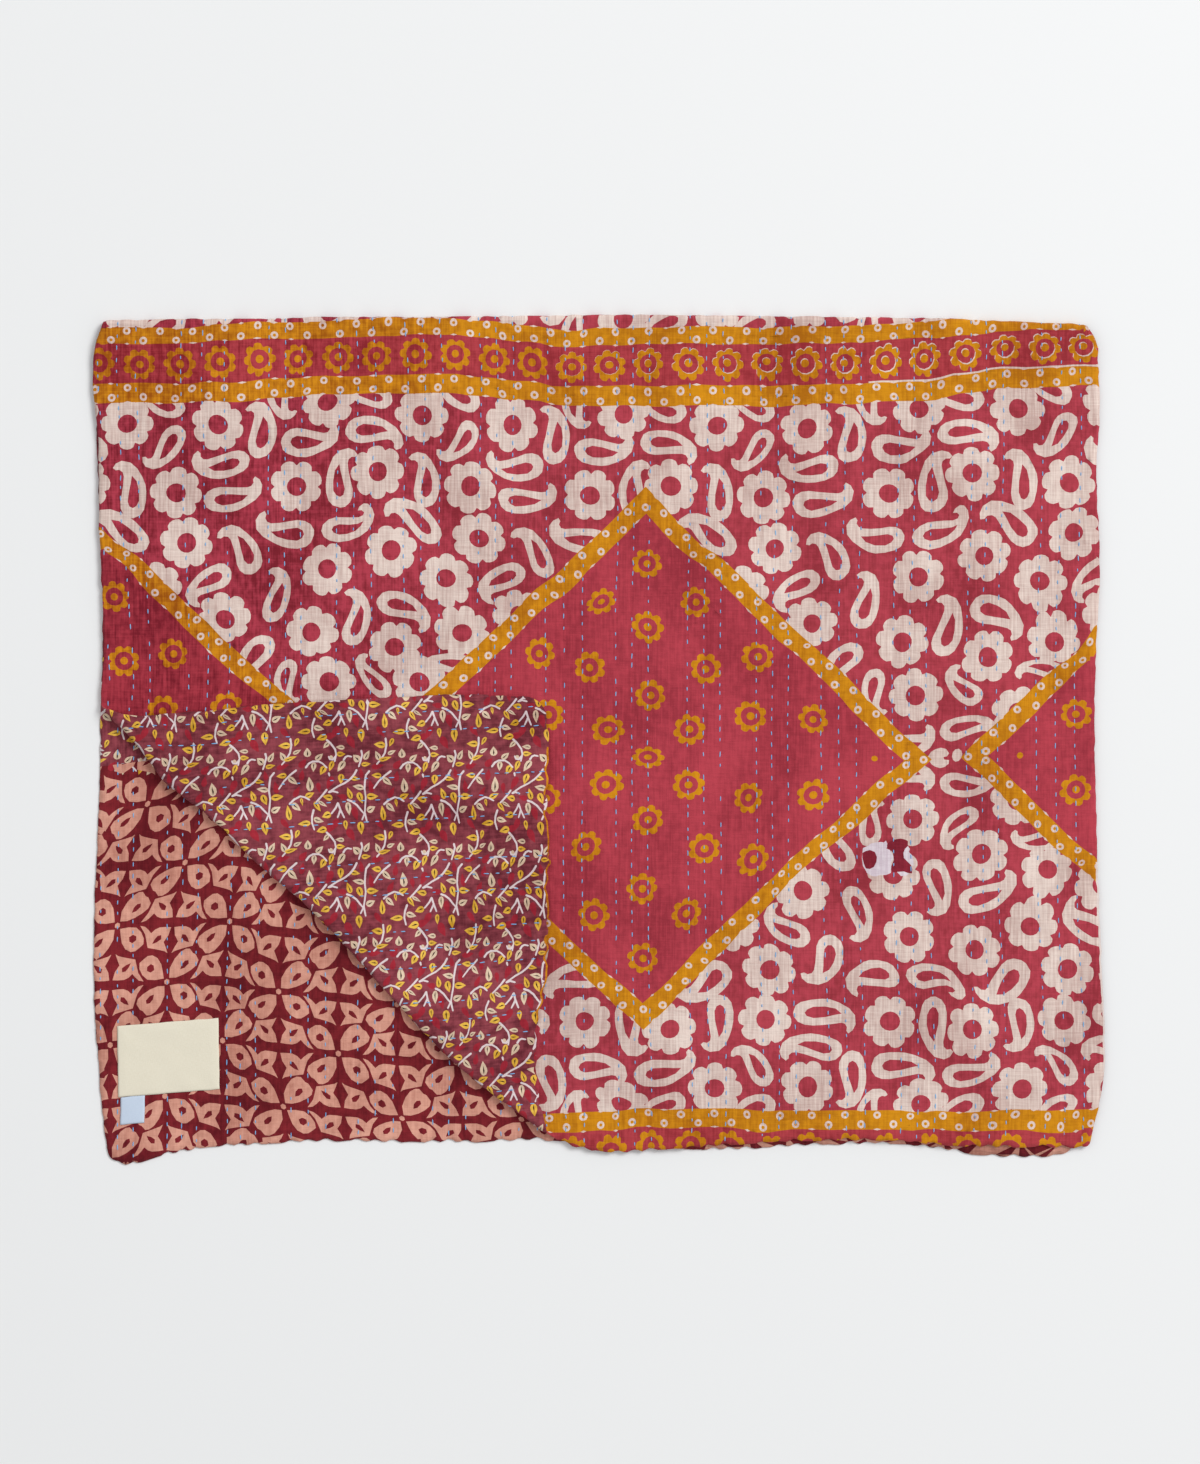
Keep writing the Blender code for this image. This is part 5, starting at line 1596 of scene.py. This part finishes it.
class Nodes:
    """Adds nodes to a material, and joins them as it goes."""

    def __init__(self, name):
        self.material = bpy.data.materials.new(name)
        self.material.use_nodes = True
        self.tree = self.material.node_tree
        self.shader = self.tree.nodes["Principled BSDF"]

    def add(self, kind, inputs=(), **settings):
        node = self.tree.nodes.new(kind)
        for key, value in settings.items():
            setattr(node, key, value)
        for key, value in dict(inputs).items():
            self.feed(node.inputs[key], value)
        return node

    def feed(self, socket, value):
        if isinstance(value, bpy.types.NodeSocket):
            self.tree.links.new(value, socket)
        else:
            socket.default_value = value

    def math(self, operation, a, b=0.0, c=0.0, clamp=False):
        values = {0: a, 1: b, 2: c}
        node = self.add("ShaderNodeMath", values, operation=operation, use_clamp=clamp)
        return node.outputs[0]

    def mix(self, factor, a, b):
        return self.add("ShaderNodeMix", {0: factor, 6: a, 7: b}, data_type="RGBA").outputs[2]

    def shade(self, **values):
        """Sets the shader's own values, each named as its socket is."""
        for name, value in values.items():
            self.feed(self.shader.inputs[name.replace("_", " ")], value)

    def bump(self, height, strength, distance):
        values = {"Height": height, "Strength": strength, "Distance": distance}
        self.shade(Normal=self.add("ShaderNodeBump", values).outputs[0])

    def cloth_map(self, scale_u, scale_v):
        """The flat cloth's coordinates, stretched."""
        place = self.add("ShaderNodeUVMap", uv_map="cloth")
        stretch = self.add("ShaderNodeMapping", {0: place.outputs[0], 3: (scale_u, scale_v, 1.0)})
        return stretch.outputs[0]

    def noise(self, scale_u, scale_v, detail=2.0):
        place = self.cloth_map(scale_u, scale_v)
        node = self.add("ShaderNodeTexNoise", {"Vector": place, "Scale": 1.0, "Detail": detail})
        return node.outputs[0]


def ink_material(ink):
    """One ink on old cotton: mottled, worn along its threads, faded in places."""
    look = INK_ROWS[INKS.index(ink)]
    n = Nodes("print_" + ink)
    fade = n.noise(*FADE)
    mottle = n.noise(*MOTTLE)
    warp = n.noise(*WARP)
    weft = n.noise(*WEFT)
    lines = n.math("SUBTRACT", n.math("MULTIPLY_ADD", weft, 0.35, warp), 0.675)
    amount = n.math("MULTIPLY_ADD", fade, 2.3, -0.65)
    spots = n.math("MULTIPLY", n.math("SUBTRACT", mottle, 0.5), look.mottle * 3.0)
    amount = n.math("ADD", amount, spots)
    amount = n.math("ADD", amount, n.math("MULTIPLY", lines, look.thread * 14.0), clamp=True)
    base = n.mix(amount, colour(*look.deep), colour(*look.light))
    if ink in FADES:
        place = n.add("ShaderNodeUVMap", uv_map="cloth")
        split = n.add("ShaderNodeSeparateXYZ", {0: place.outputs[0]})
        ramp = {0: split.outputs[0], 1: FADE_FROM, 2: FADE_TO, 3: 0.0, 4: FADE_MOST}
        bleached = n.add("ShaderNodeMapRange", ramp, interpolation_type="SMOOTHSTEP")
        spread = n.math("MULTIPLY", bleached.outputs[0], n.math("ADD", fade, 0.1), clamp=True)
        base = n.mix(spread, base, colour(*FADES[ink]))
    n.shade(Base_Color=base, Roughness=0.88, Sheen_Weight=0.04, Sheen_Roughness=0.6)
    n.shade(Specular_IOR_Level=0.15)
    grain = n.math("ADD", n.noise(*GRAIN_WARP), n.noise(*GRAIN_WEFT))
    gathers = n.math("MULTIPLY", n.noise(*GATHERS), 4.0)
    n.bump(n.math("ADD", grain, gathers), 0.5, 0.00035)
    return n.material


def thread_material():
    n = Nodes("thread")
    place = n.add("ShaderNodeNewGeometry")
    inputs = {"Vector": place.outputs[0], "Scale": 30.0, "Detail": 1.0}
    spots = n.add("ShaderNodeTexNoise", inputs)
    base = n.mix(spots.outputs[0], colour(*THREAD_DEEP), colour(*THREAD_LIGHT))
    n.shade(Base_Color=base, Roughness=0.75, Sheen_Weight=0.15)
    return n.material


def label_material(name):
    n = Nodes(name + "_weave")
    deep, light, roughness = LABEL_LOOKS[name]
    grain = n.math("ADD", n.noise(1500.0, 300.0, 1.0), n.noise(300.0, 1500.0, 1.0))
    base = n.mix(n.math("MULTIPLY", grain, 0.5), colour(*deep), colour(*light))
    n.shade(Base_Color=base, Roughness=roughness)
    n.bump(grain, 0.3, 0.0002)
    return n.material


# ---------------------------------------------------------------- Camera, floor and light


VIEW_HEIGHT = 1464 * SQUARE
VIEW_MIDDLE = Vector(((600 - CHART_X) * SQUARE, (CHART_Y - 732) * SQUARE))
CAMERA_HEIGHT = 3.2
TRUE_AT = 0.007  # the height at which a square of the picture is exactly SQUARE wide
SENSOR = 36.0
FLOOR_HALF = 6.0
LAMP_AT, LAMP_AIM, LAMP_SIZE, LAMP_POWER = (5.3, 4.1, 6.0), (0.1, 0.0, 0.0), 4.2, 500.0
ROOM_LIGHT = 0.60


def camera():
    data = bpy.data.cameras.new("camera")
    data.sensor_width = SENSOR
    data.lens = SENSOR * (CAMERA_HEIGHT - TRUE_AT) / VIEW_HEIGHT
    made = add("camera", data)
    made.location = (VIEW_MIDDLE.x, VIEW_MIDDLE.y, CAMERA_HEIGHT)
    bpy.context.scene.camera = made


def floor():
    mesh = bpy.data.meshes.new("floor")
    corners = [(x * FLOOR_HALF, y * FLOOR_HALF, 0) for x, y in ((-1, -1), (1, -1), (1, 1), (-1, 1))]
    mesh.from_pydata(corners, [], [(0, 1, 2, 3)])
    made = add("floor", mesh)
    n = Nodes("floor")
    n.shade(Base_Color=(0.86, 0.87, 0.875, 1.0), Roughness=0.9)
    mesh.materials.append(n.material)


def lights():
    """One soft lamp, high up beyond the fold's right end, in a bright room."""
    data = bpy.data.lights.new("key", "AREA")
    data.shape = "DISK"
    data.size = LAMP_SIZE
    data.energy = LAMP_POWER
    lamp = add("key", data)
    lamp.location = LAMP_AT
    toward = Vector(LAMP_AIM) - Vector(LAMP_AT)
    lamp.rotation_euler = toward.to_track_quat("-Z", "Y").to_euler()
    world = bpy.data.worlds.new("room")
    world.use_nodes = True
    room = world.node_tree.nodes["Background"]
    room.inputs["Color"].default_value = (1.0, 1.0, 1.0, 1.0)
    room.inputs["Strength"].default_value = ROOM_LIGHT
    bpy.context.scene.world = world
    bpy.context.scene.view_settings.view_transform = "Standard"


def main():
    cloth = quilt()
    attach(cloth, "root")
    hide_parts("quilt")
    sewn = stitches()
    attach(sewn, "root")
    for label in LABELS:
        made = label_cloth(label)
        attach(made, "root")
        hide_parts(label.name)
    camera()
    floor()
    lights()


main()
